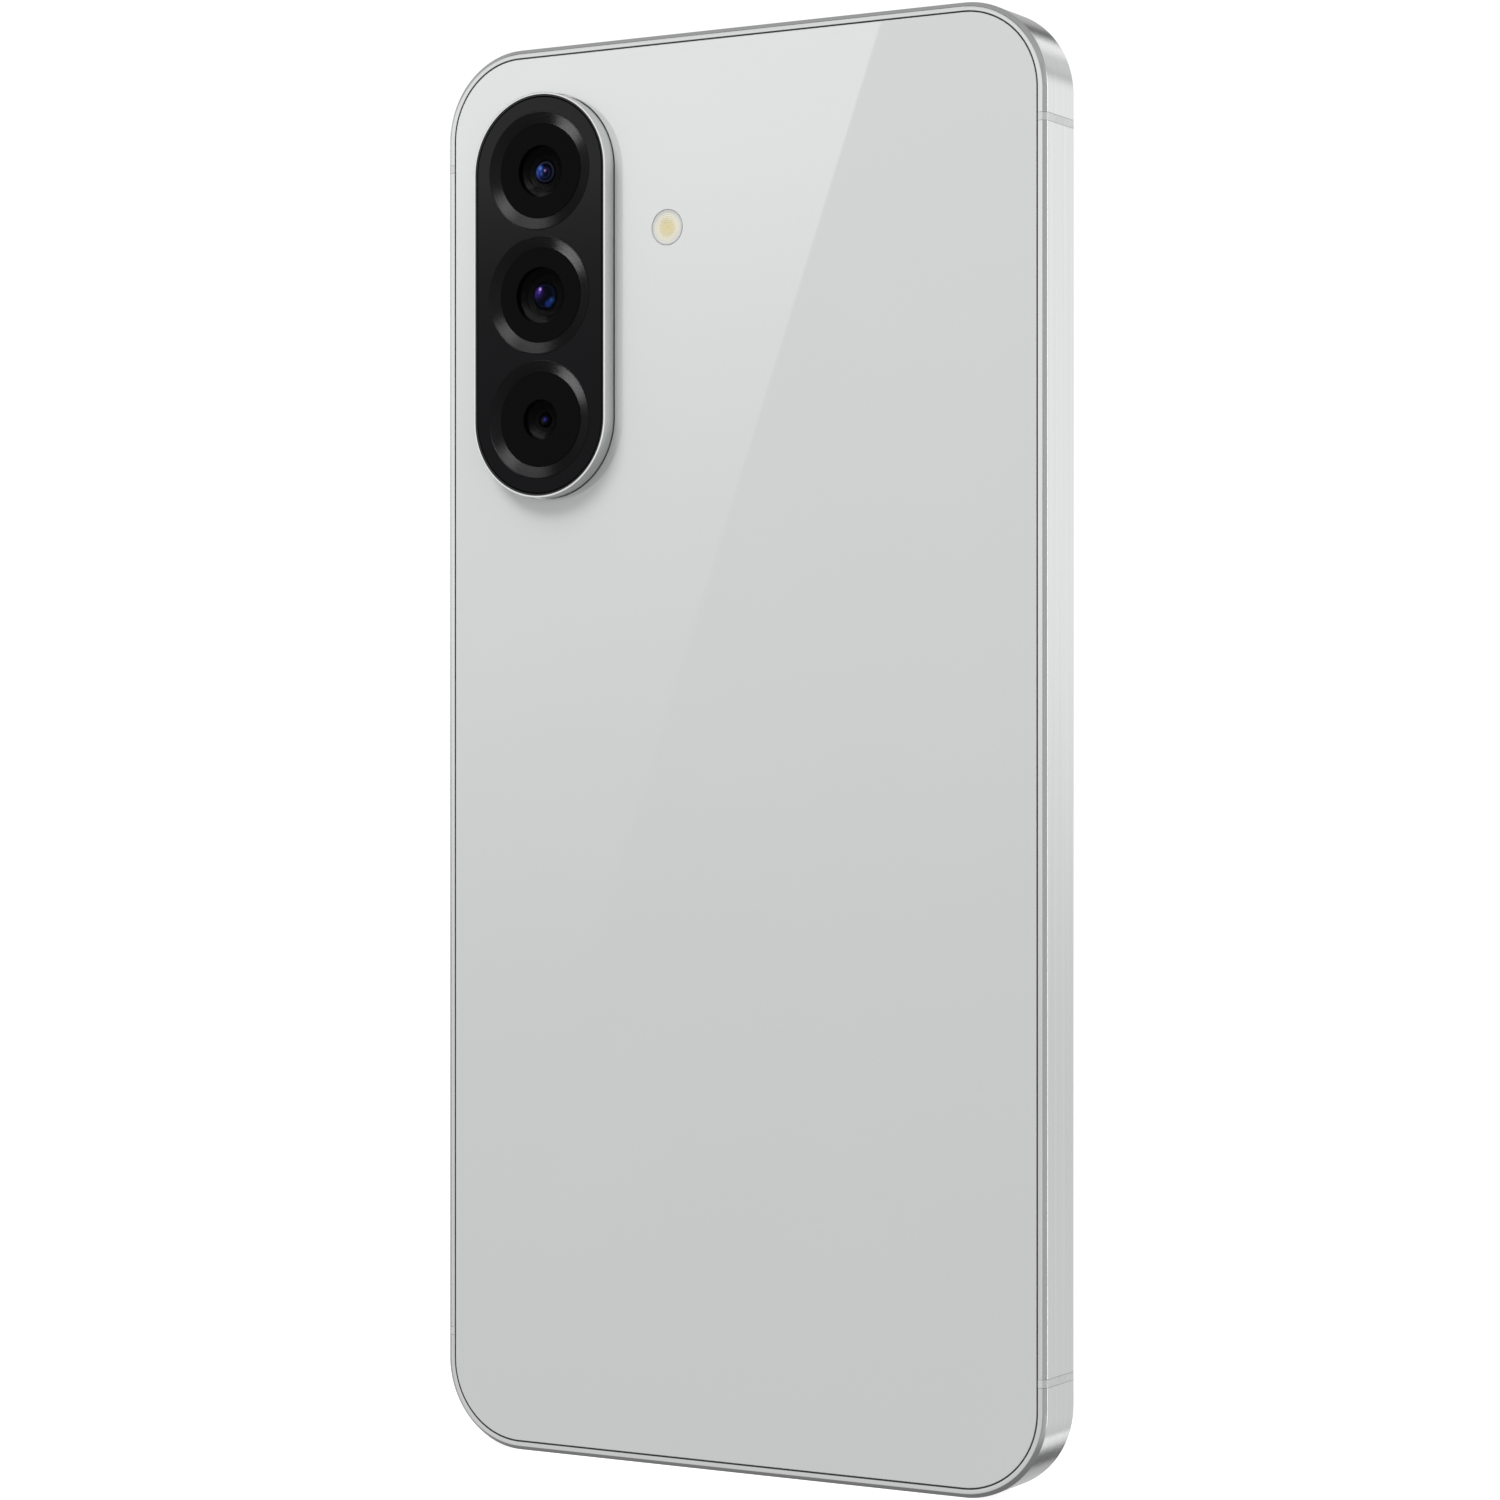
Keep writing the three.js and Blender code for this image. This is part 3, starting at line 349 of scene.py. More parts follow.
class NodeTree:
    """Short calls for the nodes of a material or of the world."""

    def __init__(self, owner):
        owner.use_nodes = True
        self.owner = owner
        self.nodes = owner.node_tree.nodes
        self.links = owner.node_tree.links

    def put(self, value, socket):
        """Fills a socket with a value or with another node's output."""
        if isinstance(value, bpy.types.NodeSocket):
            self.links.new(value, socket)
        else:
            socket.default_value = value

    def node(self, kind, **values):
        """A node with its settings and sockets filled in; a socket's name has _ for each space."""
        made = self.nodes.new(kind)
        for key, value in values.items():
            socket = key.replace("_", " ")
            if socket in made.inputs:
                self.put(value, made.inputs[socket])
            else:
                setattr(made, key, value)
        return made

    def mapped(self, place, scale, location=(0, 0, 0)):
        return self.node("ShaderNodeMapping", Vector=place, Scale=scale, Location=location).outputs["Vector"]

    def coordinates(self, space):
        return self.node("ShaderNodeTexCoord").outputs[space]

    def object_space(self, stretch=(1, 1, 1)):
        return self.mapped(self.coordinates("Object"), stretch)

    def along_path(self, stretch):
        return self.mapped(self.node("ShaderNodeUVMap", uv_map="along").outputs["UV"], (*stretch, 1))

    def noise(self, scale, detail=4.0, vector=None):
        vector = vector or self.object_space()
        return self.node("ShaderNodeTexNoise", Scale=scale, Detail=detail, Vector=vector).outputs["Fac"]

    def map_range(self, factor, from_low, from_high, low=0.0, high=1.0):
        reach = {"From_Min": from_low, "From_Max": from_high, "To_Min": low, "To_Max": high}
        return self.node("ShaderNodeMapRange", Value=factor, **reach).outputs["Result"]

    def height(self, space, low, high):
        """How far up between two heights a point lies, from 0 to 1."""
        split = self.node("ShaderNodeSeparateXYZ", Vector=self.coordinates(space))
        return self.map_range(split.outputs["Z"], low, high)

    def product(self, first, second):
        made = self.node("ShaderNodeMath", operation="MULTIPLY")
        self.put(first, made.inputs[0])
        self.put(second, made.inputs[1])
        return made.outputs["Value"]

    def ramp(self, factor, stops, interpolation="EASE"):
        """A colour from (position, colour) stops."""
        made = self.node("ShaderNodeValToRGB", Fac=factor)
        made.color_ramp.interpolation = interpolation
        elements = made.color_ramp.elements
        elements[0].position, elements[0].color = stops[0][0], (*stops[0][1], 1)
        elements[1].position, elements[1].color = stops[-1][0], (*stops[-1][1], 1)
        for position, colour in stops[1:-1]:
            elements.new(position).color = (*colour, 1)
        return made.outputs["Color"]

    def emit(self, strength):
        """A white glow."""
        return self.node("ShaderNodeEmission", Strength=strength).outputs["Emission"]

    def surface(self, shader):
        self.node("ShaderNodeOutputMaterial", Surface=shader)
        return self.owner


class Finish(NodeTree):
    """A material with one Principled shader."""

    def __init__(self, name, colour, roughness, **sockets):
        super().__init__(bpy.data.materials.new(name))
        self.shader = self.nodes["Principled BSDF"]
        self.colour = colour
        self.feed(Base_Color=(*colour, 1.0), Roughness=roughness, **sockets)

    def feed(self, **sockets):
        for socket, value in sockets.items():
            self.put(value, self.shader.inputs[socket.replace("_", " ")])

    def vary_colour(self, factor, low, high):
        """The base colour, darkened to low and brightened to high times itself by a factor."""
        dark = (*[c * low for c in self.colour], 1.0)
        bright = (*[min(1.0, c * high) for c in self.colour], 1.0)
        share = self.map_range(factor, 0.25, 0.75)
        made = self.node("ShaderNodeMix", data_type="RGBA", Factor=share, A=dark, B=bright)
        self.feed(Base_Color=made.outputs["Result"])

    def vary_roughness(self, factor, low, high):
        self.feed(Roughness=self.map_range(factor, 0.25, 0.75, low, high))

    def bump(self, height, strength, distance):
        made = self.node("ShaderNodeBump", Strength=strength, Distance=distance, Height=height)
        self.feed(Normal=made.outputs["Normal"])


def brushed(name, colour, roughness, strength=0.25):
    """Metal brushed along the path of the piece, with long fine streaks."""
    made = Finish(name, colour, roughness, Metallic=1.0, Anisotropic=0.6, Anisotropic_Rotation=0.25)
    tangent = made.node("ShaderNodeTangent", direction_type="UV_MAP", uv_map="along")
    made.feed(Tangent=tangent.outputs["Tangent"])
    fine = made.noise(1.0, 5.0, made.along_path((0.05, 9.0)))
    broad = made.noise(1.0, 3.0, made.along_path((0.012, 2.2)))
    made.vary_colour(broad, 0.95, 1.03)
    made.vary_roughness(fine, roughness * 0.8, roughness * 1.25)
    made.bump(fine, strength, 0.02 * MM)
    return made.owner


def grained(made, roughness, grain, cloud, low, high, strength):
    """A fine even grain in the roughness and the bump, and a faint cloud in the colour."""
    fine = made.noise(grain, 3.0)
    made.vary_colour(made.noise(cloud, 3.0), low, high)
    made.vary_roughness(fine, roughness * 0.85, min(1.0, roughness * 1.2))
    made.bump(fine, strength, 0.01 * MM)
    return made.owner


def satin_metal(name, colour, roughness, grain=9000.0):
    """Blasted or rolled metal."""
    made = Finish(name, colour, roughness, Metallic=1.0)
    return grained(made, roughness, grain, 160.0, 0.94, 1.04, 0.12)


def moulded(name, colour, roughness, grain=5000.0, strength=0.15, **sockets):
    """Plastic with the grain of a spark-eroded mould."""
    made = Finish(name, colour, roughness, **sockets)
    return grained(made, roughness, grain, 220.0, 0.93, 1.06, strength)


def coated_rear_glass():
    """Clear glass over a light grey coating with a very fine pearl in it."""
    coat = {"Coat_Weight": 1.0, "Coat_Roughness": 0.012, "Coat_IOR": 1.75, "Specular_IOR_Level": 0.0}
    made = Finish("rear_glass_coating", (0.634, 0.654, 0.646), 0.42, **coat)
    pearl = made.noise(14000.0, 2.0)
    cloud = made.noise(45.0, 2.0)
    made.vary_colour(made.product(pearl, cloud), 0.985, 1.02)
    made.vary_roughness(pearl, 0.38, 0.47)
    return made.owner


def black_glass(name, colour, ior, roughness=0.02, **sockets):
    made = Finish(name, colour, roughness, IOR=ior, **sockets)
    smear = made.noise(130.0, 4.0, made.object_space((1, 1, 0.4)))
    made.vary_colour(smear, 0.85, 1.15)
    made.vary_roughness(smear, roughness * 0.7, roughness * 1.6)
    return made.owner


def turned_dark_metal():
    """Dark anodised metal with the fine rings that turning leaves, so that it shines along its radii."""
    colour = (0.0115, 0.0115, 0.0118)
    made = Finish("turned_dark_metal", colour, 0.3, Metallic=1.0, Anisotropic=0.85, Anisotropic_Rotation=0.25)
    tangent = made.node("ShaderNodeTangent", direction_type="RADIAL", axis="Y")
    made.feed(Tangent=tangent.outputs["Tangent"])
    rings = made.noise(1.0, 5.0, made.along_path((0.05, 24.0)))
    made.vary_colour(rings, 0.85, 1.15)
    made.vary_roughness(rings, 0.24, 0.32)
    made.bump(rings, 0.25, 0.01 * MM)
    return made.owner


def disc_distance(made, centre_x, centre_z):
    """Distance from a point of a round part's face, 0 at the point and 1 half a part's width away from it."""
    shift = (-2 * centre_x, 0, -2 * centre_z)
    face = made.mapped(made.coordinates("Generated"), (2, 0, 2), shift)
    return made.node("ShaderNodeVectorMath", operation="LENGTH", Vector=face).outputs["Value"]


def lens_coating_and_painted_glints(name, layers):
    """Coated glass from (centre x, centre z, stops) layers, whose rings of colour add up: the coating's own
    blue and violet tint, and painted reflections, crescents of light and glints of the studio lights in it.
    """
    made = Finish(name, (0.002, 0.002, 0.006), 0.05, IOR=1.19, Specular_Tint=(0.3, 0.45, 1.0, 1.0))
    total, *colours = [made.ramp(disc_distance(made, x, z), stops) for x, z, stops in layers]
    for colour in colours:
        blend = {"data_type": "RGBA", "blend_type": "ADD", "Factor": 1.0}
        total = made.node("ShaderNodeMix", **blend, A=total, B=colour).outputs["Result"]
    made.feed(Base_Color=total)
    made.vary_roughness(made.noise(3000.0), 0.03, 0.08)
    return made.owner


def flash_window():
    """A clear lens over the yellow die: a grey edge, cream inside it and yellow in the middle."""
    made = Finish("flash_window", (0.69, 0.66, 0.56), 0.25, Coat_Weight=0.2, Coat_Roughness=0.2)
    stops = [(0.0, (0.7, 0.62, 0.325)), (0.4, (0.745, 0.68, 0.45)), (0.64, (0.8, 0.775, 0.64))]
    stops += [(0.84, (0.74, 0.73, 0.68)), (0.95, (0.55, 0.55, 0.54))]
    made.feed(Base_Color=made.ramp(disc_distance(made, 0.5, 0.5), stops))
    made.vary_roughness(made.noise(4000.0), 0.2, 0.32)
    return made.owner


def circuit_board():
    """Green solder resist with copper tracks showing through it."""
    made = Finish("circuit_board", (0.012, 0.05, 0.028), 0.45)
    resist = {"Color1": (0.012, 0.05, 0.028, 1), "Color2": (0.016, 0.065, 0.036, 1)}
    place = {"Vector": made.object_space((1, 0, 1)), "Scale": 900.0}
    tracks = made.node("ShaderNodeTexBrick", Mortar=(0.05, 0.11, 0.045, 1), **resist, **place)
    made.feed(Base_Color=tracks.outputs["Color"])
    made.vary_roughness(made.noise(2500.0), 0.35, 0.55)
    made.bump(tracks.outputs["Fac"], 0.3, 0.01 * MM)
    return made.owner


BLACK = (0.0004, 0.0004, 0.0008)
# Lens element colours: the coatings' tint, with painted highlights, painted crescents of reflected light and
# painted white glints.
COATINGS_AND_PAINTED_GLINTS = {
    "ultrawide": lens_coating_and_painted_glints("coating_blue", [
        (0.12, 0.5, [(0.0, (0.04, 0.1, 0.48)), (0.3, (0.018, 0.05, 0.28)),
            (0.7, (0.003, 0.006, 0.05)), (1.0, BLACK)]),
        (0.29, 0.68, [(0.0, (0.22, 0.36, 0.8)), (0.14, (0.05, 0.11, 0.36)), (0.34, BLACK)]),
        (0.36, 0.42, [(0.0, (0.08, 0.14, 0.3)), (0.1, (0.02, 0.04, 0.12)), (0.2, BLACK)]),
        (0.52, 0.5, [(0.72, BLACK), (0.84, (0.03, 0.038, 0.07)), (0.96, BLACK)]),
        (0.56, 0.46, [(0.28, BLACK), (0.4, (0.012, 0.018, 0.06)), (0.52, BLACK)]),
        (0.54, 0.55, [(0.0, (0.85, 0.6, 0.8)), (0.09, (0.16, 0.08, 0.26)), (0.2, BLACK)]),
    ]),
    "main": lens_coating_and_painted_glints("coating_violet", [
        (0.2, 0.66, [(0.0, (0.07, 0.025, 0.28)), (0.26, (0.03, 0.01, 0.15)),
            (0.6, (0.003, 0.001, 0.012)), (0.8, BLACK)]),
        (0.31, 0.76, [(0.0, (0.95, 0.75, 1.0)), (0.08, (0.5, 0.3, 0.8)), (0.19, BLACK)]),
        (0.28, 0.64, [(0.0, (0.12, 0.07, 0.32)), (0.1, (0.04, 0.02, 0.14)), (0.2, BLACK)]),
        (0.66, 0.2, [(0.0, (0.012, 0.05, 0.32)), (0.16, (0.008, 0.03, 0.2)), (0.36, BLACK)]),
        (0.81, 0.33, [(0.0, (0.04, 0.14, 0.36)), (0.13, (0.01, 0.04, 0.16)), (0.32, BLACK)]),
        (0.5, 0.5, [(0.0, BLACK), (0.66, BLACK), (0.8, (0.004, 0.008, 0.02)), (0.95, BLACK)]),
    ]),
    "macro": lens_coating_and_painted_glints("coating_dark", [
        (0.56, 0.55, [(0.0, (0.07, 0.07, 0.42)), (0.26, (0.012, 0.012, 0.08)), (0.6, BLACK)]),
        (0.36, 0.38, [(0.0, (0.05, 0.03, 0.012)), (0.26, (0.008, 0.006, 0.004)), (0.6, BLACK)]),
    ]),
}
LENS_BARREL = moulded("lens_barrel_black", (0.0016, 0.0015, 0.0015), 0.3, 9000.0, 0.05, IOR=1.14)
BEZEL = black_glass("front_glass_border", (0.0012, 0.0012, 0.0015), 1.34)
FRONT_GLASS = black_glass("front_glass_window", (0.003, 0.003, 0.0042), 1.34)
GOLD = satin_metal("gold_contacts", (0.83, 0.62, 0.28), 0.25)
CLEAR = {"Alpha": 0.12, "Specular_IOR_Level": 0.0}
SLOT_MATERIALS = {
    "frame_aluminium": brushed("frame_brushed", (0.785, 0.79, 0.795), 0.17, 0.12),
    "key_aluminium": satin_metal("key_satin", (0.8, 0.805, 0.81), 0.22, 6000.0),
    "antenna_plastic": moulded("antenna_resin", (0.75, 0.755, 0.755), 0.3, 5000.0, 0.08, Metallic=0.55),
    "rear_glass": coated_rear_glass(),
    "deck_rim": brushed("deck_rim_metal", (0.82, 0.825, 0.825), 0.17, 0.1),
    "black_glass": black_glass("deck_glass_black", (0.0025, 0.0025, 0.0035), 1.19),
    "lens_ring": turned_dark_metal(),
    "lens_glass": black_glass("lens_cover_clear", (0.002, 0.002, 0.002), 1.5, **CLEAR),
    "coated_lens": COATINGS_AND_PAINTED_GLINTS["main"],
    "black_plastic": moulded("black_plastic", (0.012, 0.012, 0.013), 0.4),
    "flash_lens": flash_window(),
    "phosphor": moulded("phosphor", (0.72, 0.55, 0.12), 0.5),
    "display": black_glass("display_off", (0.006, 0.006, 0.009), 1.55, 0.05),
    "gasket": moulded("gasket_foam", (0.02, 0.02, 0.02), 0.9, 2500.0, 0.5),
    "cast_plate": satin_metal("cast_plate_metal", (0.42, 0.425, 0.43), 0.45, 3500.0),
    "sheet_steel": satin_metal("pressed_steel", (0.56, 0.57, 0.58), 0.3),
    "circuit_board": circuit_board(),
    "battery_wrap": moulded("battery_film", (0.02, 0.02, 0.022), 0.35, 1800.0, 0.2),
    "flex": moulded("flex_film", (0.2, 0.075, 0.012), 0.35, 2600.0, 0.1),
    "copper": satin_metal("copper_plate", (0.72, 0.36, 0.2), 0.3),
}

# ------------ frame

BAND_LOW, BAND_HIGH = [corner.z for corner in local_box("antenna_band_top_right")]
SEAM = 0.03


def frame_profile():
    """The rail's section: side band, chamfer, lip, glass pocket and ledge, alike at the rear and front."""
    band = HALF_DEPTH - CHAMFER_DEPTH
    rear = [(0, -band), (CHAMFER_WIDTH, -HALF_DEPTH), (LIP, -HALF_DEPTH), (LIP, -LEDGE), (WALL, -LEDGE)]
    sizes = [0.06, 0.08, 0.07, 0, 0]
    front = [(inset, -y) for inset, y in reversed(rear)]
    return filleted(rear + front, sizes + sizes[::-1])


def right_path(z_low, z_high, steps=2):
    """A straight stretch up the right side."""
    return [(HALF_WIDTH, z_low + (z_high - z_low) * i / steps, 1, 0) for i in range(steps + 1)]


def mirrored(path):
    """The same stretch on the left side, still anticlockwise."""
    return [(-x, z, -nx, nz) for x, z, nx, nz in reversed(path)]


def end_path(side, z_start):
    """Round the top (side 1) or the bottom (side -1), from one side's antenna band to the other's."""
    outline = body_outline()
    straight = HALF_HEIGHT - CORNER
    half = [p for p in outline if p[1] * side > straight - SAME]
    half.sort(key=lambda p: -side * math.atan2(p[0], p[1] * side - straight + 1))
    first = (side * HALF_WIDTH, side * z_start, side, 0)
    last = (-side * HALF_WIDTH, side * z_start, -side, 0)
    return [first] + half + [last]


def flared_slot(half_x, half_y, x, y, z_face, side, depth, flare, steps=10):
    """A stadium cutter into the top (side 1) or bottom (side -1) edge with a small countersink."""
    outline = ((-flare - 1.0, -1.0), (-flare, 0), (0, flare), (0, depth))
    layers = [(inset, z_face - side * z) for inset, z in outline]
    return edge_plate("cutter", half_x, half_y, layers, x, y, steps)


def flared_hole(x, y, radius, z_face, side, depth=6.0, flare=0.08):
    return flared_slot(radius, radius, x, y, z_face, side, depth, flare, 8)


SPEAKER_X, SPEAKER_HOLES, SPEAKER_PITCH, SPEAKER_RADIUS = -18.6, 6, 2.3, 0.65
MICROPHONE_RADIUS, TOP_MICROPHONE_X = 0.45, 4.5
USB_HALF = half_size("usb_shell")
TRAY_LOW, TRAY_HIGH = local_box("sim_tray")
TRAY_MIDDLE, TRAY_HALF = middle_of("sim_tray"), half_size("sim_tray")
BEZEL_HEIGHT = 1.33
WAY_HALF_WIDTH, WAY_HALF_DEPTH = 7.1, 0.85


def top_rail():
    rail = swept("top_rail", end_path(1, BAND_HIGH + SEAM), frame_profile(), False)
    x, y = TRAY_MIDDLE.x, TRAY_MIDDLE.y
    half_x, half_y, deep = TRAY_HALF.x + GAP, TRAY_HALF.y + GAP, BEZEL_HEIGHT + 2 * GAP
    recess = flared_slot(half_x, half_y, x, y, HALF_HEIGHT, 1, deep, 0.06)
    way_x, way_y = (x - WAY_HALF_WIDTH, x + WAY_HALF_WIDTH), (y - WAY_HALF_DEPTH, y + WAY_HALF_DEPTH)
    way = bar("cutter", way_x, way_y, (HALF_HEIGHT - 6, HALF_HEIGHT - 0.7))
    slit = bar("cutter", (-6, 6), (3.15, 5), (80.0, 80.5))
    hole = flared_hole(TOP_MICROPHONE_X, 0, MICROPHONE_RADIUS, HALF_HEIGHT, 1)
    return cut(rail, recess, way, slit, hole)


def bottom_rail():
    rail = swept("bottom_rail", end_path(-1, BAND_HIGH + SEAM), frame_profile(), False)
    tools = [flared_slot(USB_HALF.x + 0.08, USB_HALF.y + 0.08, 0, 0, -HALF_HEIGHT, -1, 6.0, 0.14)]
    for hole in range(SPEAKER_HOLES):
        x = SPEAKER_X + (hole - (SPEAKER_HOLES - 1) / 2) * SPEAKER_PITCH
        tools.append(flared_hole(x, 0, SPEAKER_RADIUS, -HALF_HEIGHT, -1))
    tools.append(flared_hole(middle_of("microphone_bottom").x, 0, MICROPHONE_RADIUS, -HALF_HEIGHT, -1))
    return cut(rail, *tools)


KEY_NAMES = ("volume_rocker", "power_key")
KEY_GAP = 0.1
SIDE_END = BAND_LOW - 0.02
ISLAND_PROUD = -HALF_WIDTH - local_box("frame_left_rail")[0].x


def key_size(name):
    """Half thickness, half length, middle height and outer face of a key's cap."""
    low, high = local_box(name)
    return 1.2, half_size(name).z - 0.45, (low.z + high.z) / 2, low.x


def key_island():
    """A low plateau that swells out of the side band under the keys."""
    layers = [(0, -HALF_WIDTH + 1.0), (0, -HALF_WIDTH)]
    for step in range(1, 7):
        t = step / 6
        layers.append((0.95 * t, -HALF_WIDTH - ISLAND_PROUD * t * t * (3 - 2 * t)))
    keys = [key_size(name) for name in KEY_NAMES]
    top = max(z + half for _, half, z, _ in keys) + 2.4
    low = min(z - half for _, half, z, _ in keys) - 2.4
    return side_plate("island", 2.3, (top - low) / 2, layers, (top + low) / 2, 16)


def left_rail():
    rail = swept("left_rail", mirrored(right_path(-SIDE_END, SIDE_END)), frame_profile(), False)
    weld(rail, key_island())
    tools = []
    mouth = -HALF_WIDTH - ISLAND_PROUD
    layers = [(-0.6, mouth - 0.5), (-0.06, mouth), (0, mouth + 0.06), (0, -HALF_WIDTH + 4)]
    pocket = [(0, -HALF_WIDTH + 1.05), (0, -HALF_WIDTH + 4)]
    for name in KEY_NAMES:
        half_y, half_z, z, _ = key_size(name)
        tools.append(side_plate("cutter", half_y + KEY_GAP, half_z + KEY_GAP, layers, z))
        tools.append(side_plate("cutter", half_y + 0.6, half_z + 0.7, pocket, z))
    return cut(rail, *tools)


def right_rail():
    return swept("right_rail", right_path(-SIDE_END, SIDE_END), frame_profile(), False)


def antenna_bands():
    for side in ("right", "left"):
        for level, sign in (("top", 1), ("bottom", -1)):
            low, high = sorted((sign * (BAND_LOW + 0.01), sign * BAND_HIGH))
            path = right_path(low, high, 1)
            if side == "left":
                path = mirrored(path)
            piece = swept(f"antenna_{level}_{side}", path, frame_profile(), False)
            finish_piece(piece, f"antenna_band_{level}_{side}")


finish_piece(top_rail(), "frame_top_rail")
finish_piece(bottom_rail(), "frame_bottom_rail")
finish_piece(left_rail(), "frame_left_rail")
finish_piece(right_rail(), "frame_right_rail")
antenna_bands()

# ------------ camera deck, rear glass and flash

RIM_LOW, RIM_HIGH = local_box("camera_deck_rim")
DECK = middle_of("camera_deck_rim")
FLANGE_RADIUS = half_size("camera_deck_rim").x
RIM_RADIUS = 9.0
RIM_EDGE = 0.23
RIM_SLOT = 0.08
DECK_STRAIGHT = half_size("camera_deck_rim").z - FLANGE_RADIUS
DECK_TOP = RIM_LOW.y
FLASH = middle_of("flash_lens")
FLASH_RADIUS = half_size("flash_lens").x
BORE_RADIUS = 7.4
DECK_POCKET = -4.75


def deck_path():
    """The outline of the rim's wall."""
    outline = rounded_outline(RIM_RADIUS, DECK_STRAIGHT + RIM_RADIUS, RIM_RADIUS, 40)
    return [(x + DECK.x, z + DECK.z, nx, nz) for x, z, nx, nz in outline]


def rear_glass():
    rear = -HALF_DEPTH
    edge = 0.1
    inset = GLASS_INSET + 0.03
    layers = [(edge, rear), (edge * 0.35, rear + edge * 0.3), (0, rear + edge), (0, rear + GLASS_THICK)]
    glass = plate("rear_panel", HALF_WIDTH - inset, HALF_HEIGHT - inset, CORNER - inset, layers)
    radius = RIM_RADIUS + RIM_SLOT
    mouth = [(0, rear + 0.05), (0, 9)]
    deck_mouth = [(-0.55, rear - 0.5), (-0.05, rear), *mouth]
    hole = plate("cutter", radius, DECK_STRAIGHT + radius, radius, deck_mouth, DECK.x, DECK.z, 40)
    flash_hole = disc_cutter(FLASH_RADIUS + GAP / 2, FLASH, [(-0.5, rear - 0.5), (-0.05, rear), *mouth])
    return cut(glass, hole, flash_hole)


def deck_rim():
    """The wall, its bright top edge, the pocket for the deck glass and the flange under the rear glass."""
    foot = RIM_HIGH.y
    flange_top = -HALF_DEPTH + GLASS_THICK + GAP
    flange, bore = RIM_RADIUS - FLANGE_RADIUS, RIM_RADIUS - BORE_RADIUS
    outside = [(flange, foot), (flange, flange_top), (0, flange_top), (0, DECK_TOP)]
    inside = [(RIM_EDGE, DECK_TOP), (RIM_EDGE, DECK_POCKET), (bore, DECK_POCKET), (bore, foot)]
    sizes = [0, 0, 0, 0.03, 0.02, 0, 0, 0]
    return swept("deck_rim", deck_path(), filleted(outside + inside, sizes, 4), True)


def gap_bead(name, path, outer, inner, shallow, deep):
    """Dark adhesive in the gap round a glass: outer and inner are its distances in from the path."""
    profile = [(outer, shallow), (inner, shallow), (inner, deep), (outer, deep)]
    finish_piece(swept(name, path, profile, True), slot="black_plastic")


# How wide each barrel's cone and its throat are, as radii.
BARREL_CONES = {"ultrawide": (2.8, 1.33), "main": (3.1, 1.58), "macro": (2.15, 0.83)}
RING_PLACES = {name: middle_of(f"lens_ring_{name}") for name in BARREL_CONES}
RING_OUTER = half_size("lens_ring_main").x
RING_INNER, RING_SEAT, RING_SHELF = 5.45, 4.7, -4.88
COVER_DROP = 0.12


def deck_plate():
    low, high = local_box("camera_deck_glass")
    half = half_size("camera_deck_glass")
    edge = 0.17
    layers = [(edge, low.y), (0, low.y + edge), (0, high.y)]
    glass = plate("deck_plate", half.x, half.z, half.x, layers, DECK.x, DECK.z, 40)
    tools = [disc_cutter(RING_OUTER + 0.03, RING_PLACES[name], [(0, -9), (0, 9)]) for name in BARREL_CONES]
    return cut(glass, *tools)


def turned_at(kind, name, profile, steps=96):
    return turned(f"{kind}_{name}", profile, RING_PLACES[name].x, RING_PLACES[name].z, steps)


def lens_ring(name):
    """A turned ring: a narrow flat edge, a long inward slope and a small step down to the cover."""
    low, high = local_box(f"lens_ring_{name}")
    outside = [(RING_OUTER, high.y), (RING_OUTER, low.y + 0.01), (RING_OUTER - 0.1, low.y)]
    slope = [(RING_INNER + 0.1, low.y + 0.3), (RING_INNER, low.y + 0.33)]
    inside = [(RING_INNER, RING_SHELF), (RING_SEAT, RING_SHELF), (RING_SEAT, high.y)]
    sizes = [0, 0.01, 0.05, 0.06, 0.03, 0, 0, 0]
    return turned_at("ring", name, filleted(outside + slope + inside, sizes, 3), 128)


def lens_cover(name):
    low, high = local_box(f"lens_cover_{name}")
    radius = half_size(f"lens_cover_{name}").x
    top = low.y + COVER_DROP
    profile = [(0, top), (radius - 0.08, top), (radius, top + 0.08), (radius, high.y), (0, high.y)]
    return turned_at("cover", name, profile)


def cover_border(name, cone):
    """The black print round the clear middle of a cover, which hides its seat."""
    face = local_box(f"lens_cover_{name}")[0].y + COVER_DROP
    inner, outer = cone + 0.16, RING_INNER - 0.02
    profile = [(inner, face), (inner, face - 0.012), (outer, face - 0.012), (outer, face)]
    return turned_at("border", name, profile)


def lens_barrel(name, cone, throat):
    """Steps and a cone down to the element, as the stacked rings of a lens look from the front."""
    low, high = local_box(f"lens_barrel_{name}")
    radius = half_size(f"lens_barrel_{name}").x
    from_top = [(radius, 0), (cone + 0.45, 0), (cone + 0.4, 0.05), (cone + 0.1, 0.05), (cone, 0.1)]
    from_top += [(cone - 0.7, 0.3), (cone - 0.72, 0.36), (throat + 0.12, 0.38), (throat, 0.44)]
    from_top += [(throat, 1.1), (radius - 0.7, 1.4)]
    profile = [(radius, high.y), *[(r, low.y + y) for r, y in from_top], (radius - 0.7, high.y)]
    sizes = [0, 0.04] + [0.015] * 7 + [0.02, 0, 0, 0]
    return turned_at("barrel", name, filleted(profile, sizes, 2))


def dome_profile(radius, back, rim, tip, steps):
    """A flat back, a short side wall up to the rim and a dome from there to its tip."""
    profile = [(0, back), (radius, back), (radius, rim)]
    for step in range(steps - 1, 0, -1):
        share = step / steps
        profile.append((radius * share, rim + (tip - rim) * math.sqrt(1 - share * share)))
    return profile + [(0, tip)]


def lens_element(name):
    """A strongly curved front element."""
    low, high = local_box(f"lens_element_{name}")
    radius = half_size(f"lens_element_{name}").x
    return turned_at("element", name, dome_profile(radius, high.y, low.y + 0.3, low.y, 12), 64)


